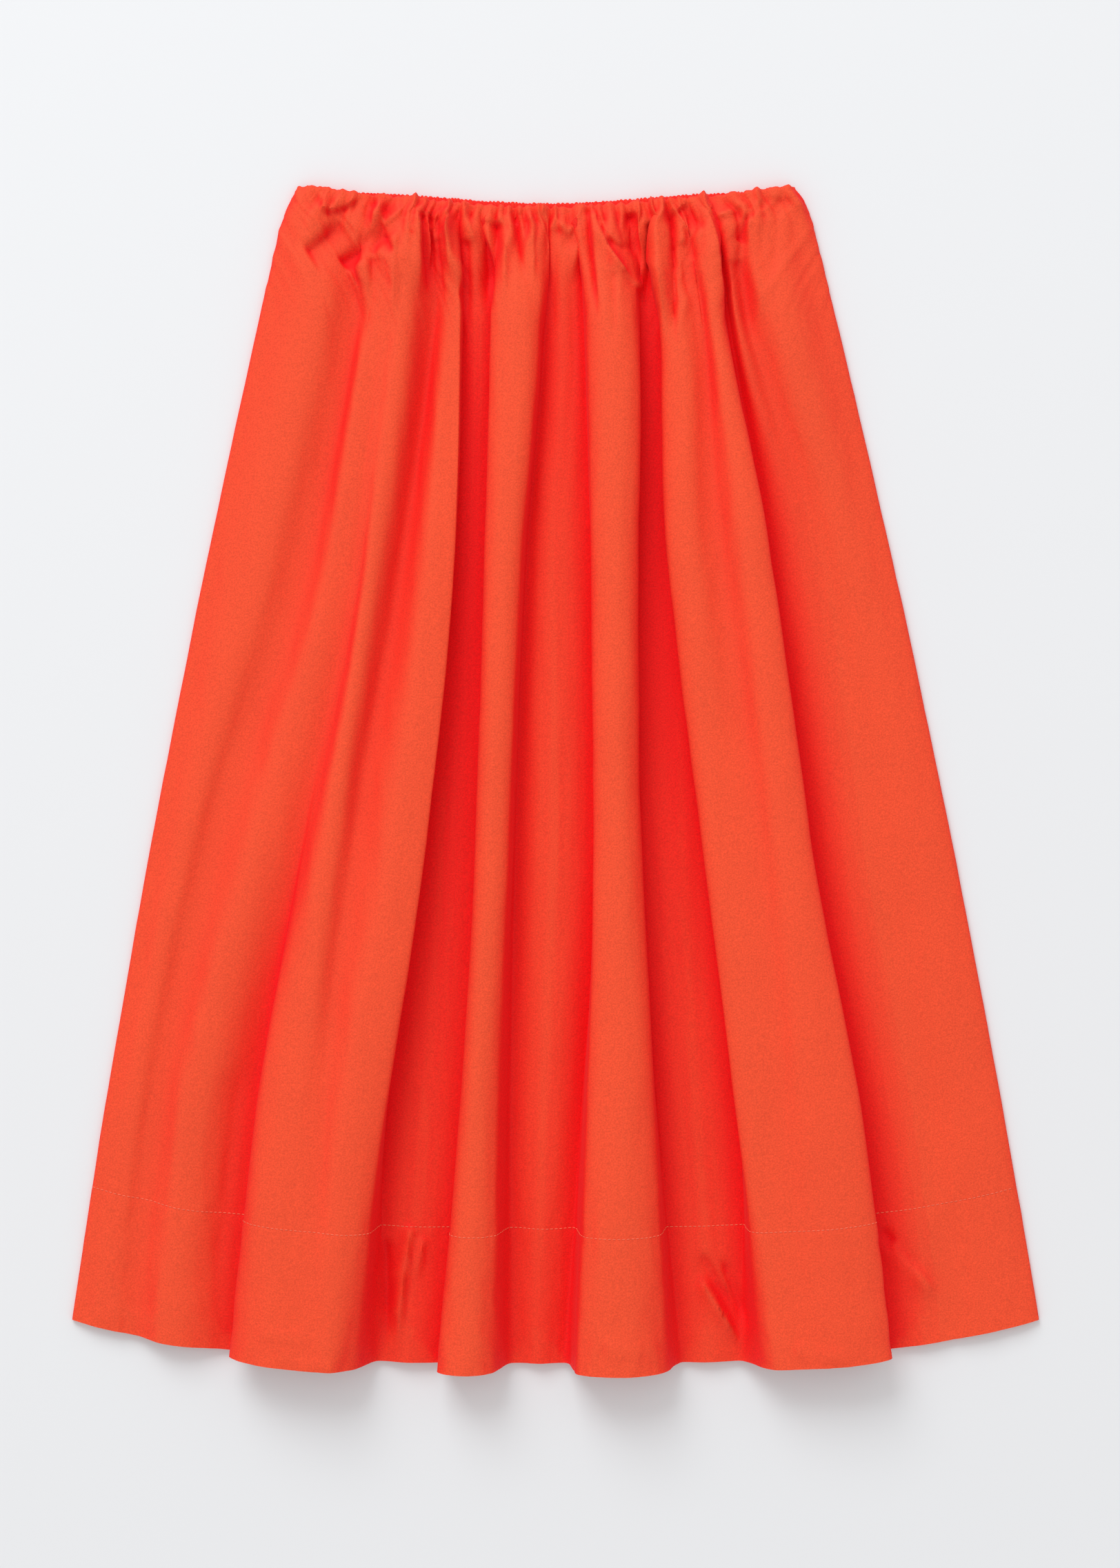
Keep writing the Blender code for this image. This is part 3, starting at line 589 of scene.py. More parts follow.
# The same for crumpled cloth, whose creases lie where the noise passes through zero
CRUMPLES = ((17.0, 31.0, 0.5, 14), (8.0, 12.0, 0.25, 15))
CRUMPLE_EVERYWHERE = 0.5
CRUMPLE_WAIST_REACH = 60.0
CRUMPLE_AT_HEM = 2.4
CRUMPLE_HEM_REACH = 70.0
# The same for fine pleats drawn down from the elastic, with the length over which they fade
DRAWN_PLEATS = (
    (10.0, 140.0, 1.8, 16, 150.0), (5.5, 60.0, 1.5, 17, 60.0), (3.4, 24.0, 0.7, 18, 26.0),
)
STITCH_GROOVE_WIDTH = 1.3
HEM_STEP_WIDTH = 2.4
HEM_STEP_START = 1.0 / 3.0
# Cell across, cell down, height and seed of the puckers along the stitch line
HEM_PUCKER = (7.0, 40.0, 0.75, 21)
HEM_PUCKER_REACH = 11.0


def surface_normals(points):
    """Unit normals of a grid of points, from the steps along its rows and columns."""
    along = np.gradient(points, axis=1)
    down = np.gradient(points, axis=0)
    normal = np.cross(along, -down)
    return normal / np.maximum(np.linalg.norm(normal, axis=2, keepdims=True), 1e-9)


def cloth_lengths(points):
    """Distances along the cloth: across from the middle column, and down from the first row."""
    across = np.linalg.norm(np.diff(points, axis=1), axis=2)
    u = np.cumsum(np.hstack([np.zeros((len(points), 1)), across]), axis=1)
    u = u - u[:, u.shape[1] // 2][:, None]
    down = np.linalg.norm(np.diff(points, axis=0), axis=2)
    v = np.cumsum(np.vstack([np.zeros((1, points.shape[1])), down]), axis=0)
    return u, v


def base_surface(down):
    """Middle surface of the front before gathers and creases, one row for each "down"."""
    x, z = fold_surface(down, SEGMENT, PART)
    share = share_of(x, down)
    lifted = smooth_step(np.minimum(z / (4.0 * CLOTH_HALF), 1.0))
    near_edge = 1.0 - smooth_step(down * CENTRE_LENGTH / ROLL_LIFT_REACH)
    z = z + lifted * (ROLL_LIFT * near_edge)[:, None]
    reach = FOLD_REACH * np.maximum(z - FOLD_REACH_FROM, 0.0) * smooth_step(down)[:, None]
    inset = ROLL_INSET * (1.0 - smooth_step(down[:, None] * CENTRE_LENGTH / ROLL_INSET_REACH))
    y = page_y(share, down[:, None]) - reach - inset
    return np.stack([x, y, z], axis=2), share


def rolled_edge(first_row):
    """Rows on an arc round the elastic, from tucked under the waist edge up to the first row."""
    radius = np.minimum(ROLL_RADIUS, ROLL_SHARE * first_row[:, 2])
    rows = []
    for angle in ROLL_ANGLES:
        row = first_row.copy()
        row[:, 1] += radius * np.cos(angle)
        row[:, 2] -= radius * (1.0 - np.sin(angle))
        rows.append(row)
    rows[0][:, 1] -= ROLL_TUCK * radius / ROLL_RADIUS
    return np.array(rows)


def wrinkle_rise(u, v, height):
    """Noise in several sizes, all longer down the skirt than across: soft swells, the sharp
    creases of crumpled cloth near both edges, and pleats drawn down from the elastic."""
    crumpled = CRUMPLE_EVERYWHERE + np.exp(-v / CRUMPLE_WAIST_REACH)
    crumpled = crumpled + CRUMPLE_AT_HEM * np.exp(-(v[-1] - v) / CRUMPLE_HEM_REACH)
    rise = np.zeros(u.shape)
    for cell_u, cell_v, tall, seed in SWELLS:
        rise += tall * cloth_noise(u, v, cell_u, cell_v, seed)
    for cell_u, cell_v, tall, seed in CRUMPLES:
        rise -= tall * crumpled * np.abs(cloth_noise(u, v, cell_u, cell_v, seed))
    for cell_u, cell_v, tall, seed, reach in DRAWN_PLEATS:
        rise += tall * np.exp(-v / reach) * np.abs(cloth_noise(u, v, cell_u, cell_v, seed))
    return rise * smooth_step(height / FLAT_HEIGHT)


def hem_rise(u, below_line):
    """The hem's stitch line: a groove, a step on to the doubled cloth, and small puckers."""
    groove = -STITCH_GROOVE * np.exp(-(below_line / STITCH_GROOVE_WIDTH) ** 2)
    step = HEM_BAND_STEP * smooth_step(below_line / HEM_STEP_WIDTH + HEM_STEP_START)
    cell_u, cell_v, tall, seed = HEM_PUCKER
    pucker = tall * cloth_noise(u, below_line, cell_u, cell_v, seed)
    return groove + step + pucker * np.exp(-np.abs(below_line) / HEM_PUCKER_REACH)


def front_surface(down):
    """Outer surface of the front cloth: the folds, with every finer layer along the normal."""
    points, share = base_surface(down)
    roll = rolled_edge(points[0])
    points = np.concatenate([roll, points])
    share = np.concatenate([np.repeat(share[:1], len(roll), axis=0), share])
    below = np.concatenate([np.zeros(len(roll)), down * CENTRE_LENGTH])[:, None] + 0.0 * share
    fading = ROLL_FADE + (1.0 - ROLL_FADE) * smooth_step((np.sin(ROLL_ANGLES) + 1.0) / 2.0)
    strength = np.concatenate([fading, np.ones(len(down))])[:, None]
    u, v = cloth_lengths(points)
    normal = surface_normals(points)
    normal[len(roll):, :, 1] *= UPRIGHT
    normal /= np.linalg.norm(normal, axis=2, keepdims=True)
    x, y, z = points[:, :, 0], points[:, :, 1], points[:, :, 2]
    side = smooth_step(z / FLAT_HEIGHT)
    gathers = gather_rise(share, below) * side * strength
    # The rolled rows take the creases of the first row below them, which fade round the edge
    flat_y = y.copy()
    flat_y[:len(roll)] = y[len(roll)]
    creases = crease_rise(x, flat_y, WAIST_CREASES + HEM_CREASES)
    rise = CLOTH_HALF + gathers + creases * side * strength ** 3
    rise += wrinkle_rise(u, v, z)
    rise += hem_rise(u, below - HEM_LINE * CENTRE_LENGTH) * side
    points = points + normal * rise[:, :, None]
    points[:, :, 1] += EDGE_PUSH * gathers * np.exp(-below / EDGE_PUSH_REACH)
    return points, u, v


front_points, front_u, front_v = front_surface(FRONT_DOWN)
STITCH_ROW = HEM_ROW + len(ROLL_ANGLES)
print("front is", np.round(np.ptp(front_points.reshape(-1, 3), axis=0), 1), "mm overall")

# %% [markdown]
# A grid becomes a mesh object in one go: the points and the four corners of each face are
# worked out as whole arrays. The UV map holds lengths along the cloth in metres, so a weave
# that is drawn on it keeps its pitch on every fold. The cloth gets its thickness inwards, from
# a second grid that is moved along the normals, so the modelled surface stays outside, and a
# strip of faces closes the rim with a crisp edge. Each point also keeps how open it lies to the
# sky, and the material paints shade from that: a deeper red where little sky is seen, standing
# in for the shade and the red light that bounces between folds.

# %% Helpers that make objects
# Edges that turn more than this stay crisp
RIM_ANGLE = np.radians(55.0)
# Lowest height of any point above the table
TABLE_GAP = 0.01
# The inner side of the cloth uses every second column
LINING_COLUMNS = slice(None, None, 2)
# Half the size of the height map, and its step
MAP_HALF_WIDTH = 360.0
MAP_HALF_LENGTH = 435.0
MAP_STEP = 1.25
# Directions and distances in which the horizon is looked for
SKY_ANGLES = np.radians(np.arange(0.0, 360.0, 45.0))
SKY_DISTANCES = (2.5, 4.0, 6.0, 9.0, 13.0, 19.0, 27.0, 38.0)
SKY_SLACK = 0.5
# Painted shade on steep flanks: how much of its sky a point on an upright flank is taken to lose
TILT_SHADE = 0.22


def grid_faces(corner):
    """Corner numbers of every face of a grid whose rows run down and columns run right."""
    faces = [corner[:-1, :-1], corner[1:, :-1], corner[1:, 1:], corner[:-1, 1:]]
    return np.stack(faces, axis=2).reshape(-1, 4)


def mesh_object(name, points, face_sets, uv=None):
    """A smooth mesh object at the origin, from points in millimetres and one or more arrays
    of faces, each of one number of corners."""
    mesh = bpy.data.meshes.new(name)
    corners = np.concatenate([faces.ravel() for faces in face_sets])
    sizes = np.concatenate([np.full(len(faces), faces.shape[1]) for faces in face_sets])
    starts = np.cumsum(sizes) - sizes
    mesh.vertices.add(len(points))
    mesh.vertices.foreach_set("co", (points * MM).astype(np.float32).ravel())
    mesh.loops.add(len(corners))
    mesh.loops.foreach_set("vertex_index", corners.astype(np.int32))
    mesh.polygons.add(len(starts))
    mesh.polygons.foreach_set("loop_start", starts.astype(np.int32))
    mesh.update(calc_edges=True)
    if uv is not None:
        layer = mesh.uv_layers.new(name="cloth")
        layer.data.foreach_set("uv", uv[corners].astype(np.float32).ravel())
    mesh.shade_smooth()
    mesh.validate()
    made = bpy.data.objects.new(name, mesh)
    bpy.context.scene.collection.objects.link(made)
    return made


def shell_object(name, outer, u, v, thickness, material):
    """A closed shell: the outer grid, every second column of it moved inwards along the
    normals, and a strip of faces round the rim. Nothing of it lies lower than the table, and
    its UV map is in metres of cloth."""
    rows, columns = outer.shape[:2]
    inner = (outer - surface_normals(outer) * thickness)[:, LINING_COLUMNS]
    corner = np.arange(rows * columns).reshape(rows, columns)
    under = np.arange(inner.shape[0] * inner.shape[1]).reshape(inner.shape[:2]) + corner.size
    sides = [
        np.stack([corner[:-1, 0], under[:-1, 0], under[1:, 0], corner[1:, 0]], axis=1),
        np.stack([corner[1:, -1], under[1:, -1], under[:-1, -1], corner[:-1, -1]], axis=1),
    ]
    top, bottom = (corner[0], under[0]), (corner[-1][::-1], under[-1][::-1])
    ends = [
        np.stack([near[:-2:2], near[1:-1:2], near[2::2], far[1:], far[:-1]], axis=1)
        for near, far in (top, bottom)
    ]
    quads = np.concatenate([grid_faces(corner), grid_faces(under)[:, ::-1]] + sides)
    points = np.concatenate([outer.reshape(-1, 3), inner.reshape(-1, 3)])
    points[:, 2] = np.maximum(points[:, 2], TABLE_GAP)
    uv = np.stack([u, -v], axis=2) * MM
    uv = np.concatenate([uv.reshape(-1, 2), uv[:, LINING_COLUMNS].reshape(-1, 2)])
    made = mesh_object(name, points, (quads, np.concatenate(ends)), uv)
    made.data.set_sharp_from_angle(angle=RIM_ANGLE)
    made.data.materials.append(material)
    return made


def height_map(points):
    """Heights of the cloth on an even grid over the skirt: every row is read off at even
    places across, then every column at even places down."""
    across = np.arange(-MAP_HALF_WIDTH, MAP_HALF_WIDTH, MAP_STEP)
    down = np.arange(-MAP_HALF_LENGTH, MAP_HALF_LENGTH, MAP_STEP)
    ordered = np.maximum.accumulate(points[:, :, 0], axis=1)
    rows_y, rows_z = (
        np.array([np.interp(across, x, row, 0.0, 0.0) for x, row in zip(ordered, points[:, :, axis])])
        for axis in (1, 2)
    )
    outside = (across[None] < ordered[:, :1]) | (across[None] > ordered[:, -1:])
    rows_y = np.where(outside, points[:, :1, 1], rows_y)
    turned = np.maximum.accumulate(-rows_y, axis=0)
    columns = [np.interp(down, y, z, 0.0, 0.0) for y, z in zip(turned.T, rows_z.T)]
    return np.array(columns).T


def open_sky(points):
    """How much of the sky each point sees: the squared cosine of its horizon, averaged over
    eight directions, and a little less where the cloth is steep. It is 1 on open level cloth
    and near 0 at the foot of a deep fold, and the material paints shade from it."""
    heights = height_map(points)
    x, y, z = points[:, :, 0], points[:, :, 1], points[:, :, 2]
    seen = np.zeros(z.shape)
    for angle in SKY_ANGLES:
        steepest = np.zeros(z.shape)
        for distance in SKY_DISTANCES:
            column = (x + distance * np.cos(angle) + MAP_HALF_WIDTH) / MAP_STEP
            row = (MAP_HALF_LENGTH - y - distance * np.sin(angle)) / MAP_STEP
            column = np.clip(np.round(column).astype(int), 0, heights.shape[1] - 1)
            row = np.clip(np.round(row).astype(int), 0, heights.shape[0] - 1)
            steepest = np.maximum(steepest, (heights[row, column] - z - SKY_SLACK) / distance)
        seen += 1.0 / (1.0 + steepest ** 2) / len(SKY_ANGLES)
    upward = np.clip(surface_normals(points)[:, :, 2], 0.0, 1.0)
    return seen * (1.0 - TILT_SHADE * (1.0 - upward))


def set_painted_shade_sky(made, seen):
    """Keeps how open each point is as a number on the mesh, from which the material paints shade."""
    layer = made.data.attributes.new("open_sky", "FLOAT", "POINT")
    values = np.concatenate([seen.ravel(), seen[:, LINING_COLUMNS].ravel()])
    values = values[:len(made.data.vertices)]
    layer.data.foreach_set("value", values.astype(np.float32))


def sheet_area(points):
    """Area of a grid of points in square metres: half the cross product of the diagonals."""
    first = points[1:, 1:] - points[:-1, :-1]
    second = points[1:, :-1] - points[:-1, 1:]
    return float(np.linalg.norm(np.cross(first, second), axis=2).sum() / 2 * MM * MM)


print("cloth of the front:", round(sheet_area(front_points), 4), "square metres")

# %% [markdown]
# The cloth is a crisp plain-woven cotton with a faint sheen. A picture of the weave could be
# laid on it, but nodes stay sharp at any distance, and one function then makes all materials.
# The weave is a bump of two crossed sine waves on the UV map, slubs are noise that is drawn out
# along the threads, and the colour wanders a little as dyed cotton does. Where the folds close
# off the sky, shade is painted into the colour as a deeper red.

# %% Materials
# The dye on open cloth, and the deeper red of painted shade in the folds, and the same for the thread
CORAL = (0.98, 0.086, 0.027)
CORAL_PAINTED_SHADE = (0.96, 0.001, 0.004)
THREAD_PALE = (0.98, 0.23, 0.12)
THREAD_PAINTED_SHADE = (0.98, 0.12, 0.07)
THREADS_PER_METRE = 4000.0
THREADS_PER_REPEAT = 2.0
ROUGHNESS = 0.72
SPECULAR = 0.25
SHEEN = 0.05
SHEEN_ROUGHNESS = 0.45
SHEEN_TINT = (1.0, 0.55, 0.45, 1.0)
# How the colour wanders, how slubs are drawn out along the threads, and the fine grain
WANDER_SCALE = 14.0
WANDER_LOW = 0.955
SLUB_STRETCH = (900.0, 130.0, 1.0)
SLUB_SHARE = 0.10
GRAIN_SCALE = 900.0
GRAIN_RANGE = (0.80, 1.06)
NOISE_MIDDLE = (0.3, 0.7)
# Painted shade: the share of sky at which it is full, and how soon the colour turns towards it
FULL_SHADE_SKY = 0.48
SHADE_POWER = 2.4
WEAVE_STRENGTH = 0.25
WEAVE_DISTANCE = 0.00012
WEAVE_WAVER = 0.6
# A wave texture of scale 1 repeats this many times in 2 pi metres
WAVE_REPEATS = 20.0
CRUMPLE_SCALE = 240.0
CRUMPLE_ROUGHNESS = 0.6
CRUMPLE_STRENGTH = 0.5
CRUMPLE_DISTANCE = 0.0008


def add_node(tree, kind, place, **settings):
    """A new shader node with some of its settings."""
    node = tree.nodes.new(kind)
    node.location = place
    for name, value in settings.items():
        setattr(node, name, value)
    return node


def set_inputs(node, **values):
    """Sets inputs of a node by name, with _ for a blank."""
    for name, value in values.items():
        node.inputs[name.replace("_", " ")].default_value = value
    return node


def cotton_colour(tree, colour, deep, slub):
    """The colour: the dye wanders from place to place and shows the slubs and a fine grain, and
    painted shade turns it to a deeper red in the folds."""
    link = tree.links.new
    place = add_node(tree, "ShaderNodeTexCoord", (-1200, 300))
    wander = add_node(tree, "ShaderNodeTexNoise", (-900, 300))
    set_inputs(wander, Scale=WANDER_SCALE, Detail=4.0)
    link(place.outputs["Object"], wander.inputs["Vector"])
    tone = add_node(tree, "ShaderNodeValToRGB", (-650, 300))
    low, high = tone.color_ramp.elements
    low.position, high.position = NOISE_MIDDLE
    low.color = (*[part * WANDER_LOW for part in colour], 1.0)
    high.color = (*colour, 1.0)
    link(wander.outputs["Fac"], tone.inputs["Fac"])
    hollow = add_node(tree, "ShaderNodeAttribute", (-900, 550), attribute_name="open_sky")
    folded = add_node(tree, "ShaderNodeMapRange", (-650, 550))
    set_inputs(folded, From_Min=FULL_SHADE_SKY, From_Max=1.0)
    link(hollow.outputs["Fac"], folded.inputs["Value"])
    curved = add_node(tree, "ShaderNodeMath", (-520, 650), operation="POWER")
    curved.inputs[1].default_value = SHADE_POWER
    link(folded.outputs["Result"], curved.inputs[0])
    # Painted shade: the colour turns to the deep one where the point sees little sky
    depth = add_node(tree, "ShaderNodeMix", (-400, 450), data_type="RGBA")
    set_inputs(depth, A=(*deep, 1.0))
    link(curved.outputs[0], depth.inputs["Factor"])
    link(tone.outputs["Color"], depth.inputs["B"])
    shade = add_node(tree, "ShaderNodeMix", (-400, 250), data_type="RGBA", blend_type="MULTIPLY")
    set_inputs(shade, Factor=SLUB_SHARE)
    link(depth.outputs["Result"], shade.inputs["A"])
    link(slub.outputs["Color"], shade.inputs["B"])
    grain = add_node(tree, "ShaderNodeTexNoise", (-650, 800))
    set_inputs(grain, Scale=GRAIN_SCALE, Detail=2.0)
    link(place.outputs["Object"], grain.inputs["Vector"])
    speck = add_node(tree, "ShaderNodeMapRange", (-400, 800))
    set_inputs(speck, From_Min=NOISE_MIDDLE[0], From_Max=NOISE_MIDDLE[1])
    set_inputs(speck, To_Min=GRAIN_RANGE[0], To_Max=GRAIN_RANGE[1])
    link(grain.outputs["Fac"], speck.inputs["Value"])
    speckled = add_node(tree, "ShaderNodeMix", (-200, 500), data_type="RGBA", blend_type="MULTIPLY")
    set_inputs(speckled, Factor=1.0)
    link(shade.outputs["Result"], speckled.inputs["A"])
    link(speck.outputs["Result"], speckled.inputs["B"])
    return speckled.outputs["Result"]


def cotton_relief(tree, threads, slub):
    """The bumps: warp and weft waves, of which the higher one shows, with the slubs and a
    small crumple below them."""
    link = tree.links.new
    waves = []
    for direction, height in (("X", -300), ("Y", -600)):
        wave = add_node(tree, "ShaderNodeTexWave", (-700, height), bands_direction=direction)
        repeats = THREADS_PER_METRE / THREADS_PER_REPEAT
        set_inputs(wave, Scale=repeats * 2.0 * np.pi / WAVE_REPEATS, Distortion=WEAVE_WAVER)
        link(threads.outputs["UV"], wave.inputs["Vector"])
        waves.append(wave)
    woven = add_node(tree, "ShaderNodeMath", (-450, -400), operation="MAXIMUM")
    link(waves[0].outputs["Fac"], woven.inputs[0])
    link(waves[1].outputs["Fac"], woven.inputs[1])
    relief = add_node(tree, "ShaderNodeMath", (-250, -300), operation="ADD")
    link(woven.outputs[0], relief.inputs[0])
    link(slub.outputs["Fac"], relief.inputs[1])
    bumped = add_node(tree, "ShaderNodeBump", (-50, -300))
    set_inputs(bumped, Strength=WEAVE_STRENGTH, Distance=WEAVE_DISTANCE)
    link(relief.outputs[0], bumped.inputs["Height"])
    place = add_node(tree, "ShaderNodeTexCoord", (-950, -900))
    crumple = add_node(tree, "ShaderNodeTexNoise", (-700, -900))
    set_inputs(crumple, Scale=CRUMPLE_SCALE, Detail=5.0, Roughness=CRUMPLE_ROUGHNESS)
    link(place.outputs["Object"], crumple.inputs["Vector"])
    crumpled = add_node(tree, "ShaderNodeBump", (150, -300))
    set_inputs(crumpled, Strength=CRUMPLE_STRENGTH, Distance=CRUMPLE_DISTANCE)
    link(crumple.outputs["Fac"], crumpled.inputs["Height"])
    link(bumped.outputs["Normal"], crumpled.inputs["Normal"])
    return crumpled.outputs["Normal"]


def cotton(name, colour, deep):
    """Dyed plain-woven cotton: its colour with painted shade in the folds, its relief and its faint
    sheen.
    """
    material = bpy.data.materials.new(name)
    material.use_nodes = True
    tree = material.node_tree
    shader = tree.nodes["Principled BSDF"]
    set_inputs(shader, Roughness=ROUGHNESS, Specular_IOR_Level=SPECULAR, Sheen_Weight=SHEEN)
    set_inputs(shader, Sheen_Roughness=SHEEN_ROUGHNESS, Sheen_Tint=SHEEN_TINT)
    threads = add_node(tree, "ShaderNodeUVMap", (-1200, 0), uv_map="cloth")
    stretch = add_node(tree, "ShaderNodeMapping", (-950, 0))
    set_inputs(stretch, Scale=SLUB_STRETCH)
    tree.links.new(threads.outputs["UV"], stretch.inputs["Vector"])
    slub = add_node(tree, "ShaderNodeTexNoise", (-700, 0))
    set_inputs(slub, Scale=1.0, Detail=3.0)
    tree.links.new(stretch.outputs["Vector"], slub.inputs["Vector"])
    tree.links.new(cotton_colour(tree, colour, deep, slub), shader.inputs["Base Color"])
    tree.links.new(cotton_relief(tree, threads, slub), shader.inputs["Normal"])
    return material


coral_cotton = cotton("coral cotton", CORAL, CORAL_PAINTED_SHADE)
coral_hem_cotton = cotton("coral cotton hem", CORAL, CORAL_PAINTED_SHADE)
coral_back_cotton = cotton("coral cotton back", CORAL, CORAL_PAINTED_SHADE)
coral_casing_cotton = cotton("coral cotton casing", CORAL, CORAL_PAINTED_SHADE)
coral_thread = cotton("coral thread", THREAD_PALE, THREAD_PAINTED_SHADE)
print("materials:", [material.name for material in bpy.data.materials])

# %% [markdown]
# On the real skirt the front is one panel, and its lower edge is turned up to make the doubled
# hem. The hem could be a strip that is made by itself and laid against the panel. Here one grid
# is cut in two at the row on the stitch line, so both pieces share that row and the folds run
# on through it. The hem's shell is thicker, as two layers of cloth are.

# %% The front and its hem
FRONT_THICKNESS = 0.5
HEM_THICKNESS = 0.9
front_seen = open_sky(front_points)
body, band = slice(0, STITCH_ROW + 1), slice(STITCH_ROW, None)
front_cloth = shell_object(
    "front_cloth", front_points[body], front_u[body], front_v[body], FRONT_THICKNESS, coral_cotton
)
front_hem_cloth = shell_object(
    "front_hem_cloth", front_points[band], front_u[band], front_v[band], HEM_THICKNESS,
    coral_hem_cotton,
)
# The front's painted shade comes from how open each point lies
set_painted_shade_sky(front_cloth, front_seen[body])
set_painted_shade_sky(front_hem_cloth, front_seen[band])
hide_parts("front")
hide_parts("front_hem")
print("front faces:", len(front_cloth.data.polygons))
print("front hem faces:", len(front_hem_cloth.data.polygons))

# %% [markdown]
# The hem is held by one row of stitches. They could be a bump in the material, but real thread
# catches the light and shows from the side. So each is a little capsule that is carried along
# the cloth, partly sunk into its groove. All of them are one mesh, worked out as one array of
# rings.

# %% Hem stitches
STITCH_PITCH = 3.3
STITCH_LENGTH = 2.5
THREAD_RADIUS = 0.34
THREAD_SIDES = 6
# Radius of each ring along a stitch, as a share of the thread's
THREAD_RINGS = np.array([0.3, 0.85, 1.0, 0.85, 0.3])
# How far the thread's middle stands above the cloth, in radii, and how open it is taken to lie for its
# painted shade
THREAD_PROUD = 0.35
THREAD_SHADE_SKY = 0.92


def stitch_object(name, line, normals, material):
    """Capsules of thread along a line on the cloth: rings round evenly spaced stretches of it,
    in the plane of the cloth's normal and the direction at right angles to the line."""
    lengths = np.concatenate([[0.0], np.cumsum(np.linalg.norm(np.diff(line, axis=0), axis=1))])
    starts = np.arange(STITCH_PITCH, lengths[-1] - 2.0 * STITCH_PITCH, STITCH_PITCH)
    part = np.linspace(0.0, 1.0, len(THREAD_RINGS))
    places = starts[:, None] + STITCH_LENGTH * part[None, :]
    centre = np.stack([np.interp(places, lengths, line[:, k]) for k in range(3)], axis=2)
    up = np.stack([np.interp(places, lengths, normals[:, k]) for k in range(3)], axis=2)
    ahead = np.gradient(centre, axis=1)
    across = np.cross(ahead, up)
    across /= np.linalg.norm(across, axis=2, keepdims=True)
    turn = np.linspace(0.0, 2.0 * np.pi, THREAD_SIDES, endpoint=False)
    radius = (THREAD_RADIUS * THREAD_RINGS)[None, :, None, None]
    centre = centre + up * (THREAD_RADIUS * THREAD_PROUD)
    ring = np.cos(turn)[:, None] * across[:, :, None] + np.sin(turn)[:, None] * up[:, :, None]
    points = centre[:, :, None] + radius * ring
    rings, sides = len(THREAD_RINGS), THREAD_SIDES
    corner = np.arange(rings * sides).reshape(rings, sides)
    beside = np.roll(corner, -1, axis=1)
    wall = np.stack([corner[:-1], corner[1:], beside[1:], beside[:-1]], axis=2).reshape(-1, 4)
    # Two faces close each six-sided end
    caps = np.array([[0, 1, 2, 3], [0, 3, 4, 5]])
    one = np.concatenate([wall, caps, caps[:, ::-1] + (rings - 1) * sides])
    faces = (one[None] + (np.arange(len(starts)) * rings * sides)[:, None, None]).reshape(-1, 4)
    points = points.reshape(-1, 3)
    made = mesh_object(name, points, (faces,), points[:, :2] * MM)
    made.data.materials.append(material)
    # Painted shade on the thread: one even share of sky
    set_painted_shade_sky(made, np.full((1, len(points)), THREAD_SHADE_SKY))
    print(name, len(starts), "stitches")
    return made


hem_stitches = stitch_object(
    "hem_stitches", front_points[STITCH_ROW], surface_normals(front_points)[STITCH_ROW],
    coral_thread,
)

# %% [markdown]
# The back panel lies flat under the front and carries it, so its underside stays level. It only
# keeps a few shallow creases, pressed up from the table, and low pipes below the front's ridges.
# A plain flat sheet would be simpler, but it shows as a straight line where the hem is open.

# %% The back and its hem
# Name, place across at the waist and at the hem, height at the hem and half the width
BACK_PIPES = (
    ("left pipe", -104, -190, 5.0, 15.0),
    ("centre pipe", -26, -57, 4.0, 13.0),
    ("broad pipe", 42, 46, 5.5, 15.0),
    ("right pipe", 108, 186, 4.5, 14.0),
)
BACK_COLUMNS = 261
BACK_ROWS = 90
BACK_HEM_ROWS = 20
# The back ends so far inside the front's outline
SIDE_CLEARANCE = 2.1
BACK_THICKNESS = 0.5
BACK_LOW = 0.02
BACK_RIM = 0.02
BACK_RIM_WIDTH = 0.03
BACK_GATHER_SHARE = 0.5
PIPES_FROM = 0.1
PIPES_OVER = 0.6
# Cell across, cell down, height and seed of the creases pressed up from the table
BACK_CREASES = ((42.0, 260.0, 1.6, 31), (15.0, 90.0, 0.64, 32))
STITCH_TUNNEL = 0.5
STITCH_TUNNEL_WIDTH = 1.5


def back_surface(down):
    """Underside of the back cloth: level, but for pipes, gathers, pressed-in creases and the
    low tunnel that the hem's stitches lie in."""
    share = np.linspace(0.0, 1.0, BACK_COLUMNS)[None, :]
    half = (half_width(down) - SIDE_CLEARANCE)[:, None]
    x = middle_x(down)[:, None] + half * (2.0 * share - 1.0)
    page = share_of(x, down)
    y = page_y(page, down[:, None])
    z = np.full_like(x, BACK_LOW)
    opening = smooth_step((down[:, None] - PIPES_FROM) / PIPES_OVER)
    for _, waist_x, hem_x, tall, half_pipe in BACK_PIPES:
        crest = (waist_x + (hem_x - waist_x) * down)[:, None]
        away = np.clip(np.abs(x - crest) / half_pipe, 0.0, 1.0)
        z += tall * opening * (0.5 + 0.5 * np.cos(np.pi * away))
    rim = np.minimum(share, 1.0 - share)
    inside = smooth_step((rim - BACK_RIM) / BACK_RIM_WIDTH)
    below = np.repeat(down[:, None] * CENTRE_LENGTH, BACK_COLUMNS, axis=1)
    gathers = gather_rise(np.clip(page, BACK_RIM, 1.0 - BACK_RIM), below)
    z += BACK_GATHER_SHARE * gathers * inside
    u, v = cloth_lengths(np.stack([x, y, z], axis=2))
    v = v + down[0] * CENTRE_LENGTH
    for cell_u, cell_v, tall, seed in BACK_CREASES:
        z += tall * np.maximum(cloth_noise(u, v, cell_u, cell_v, seed), 0.0) * inside
    tunnel = (below - HEM_LINE * CENTRE_LENGTH) / STITCH_TUNNEL_WIDTH
    z += STITCH_TUNNEL * np.exp(-tunnel ** 2)
    return np.stack([x, y, z], axis=2), u, v


def upward_sheet(name, points, u, v, thickness, material):
    """A sheet whose given surface is its underside: the columns are turned over first."""
    return shell_object(name, points[:, ::-1], u[:, ::-1], v[:, ::-1], thickness, material)


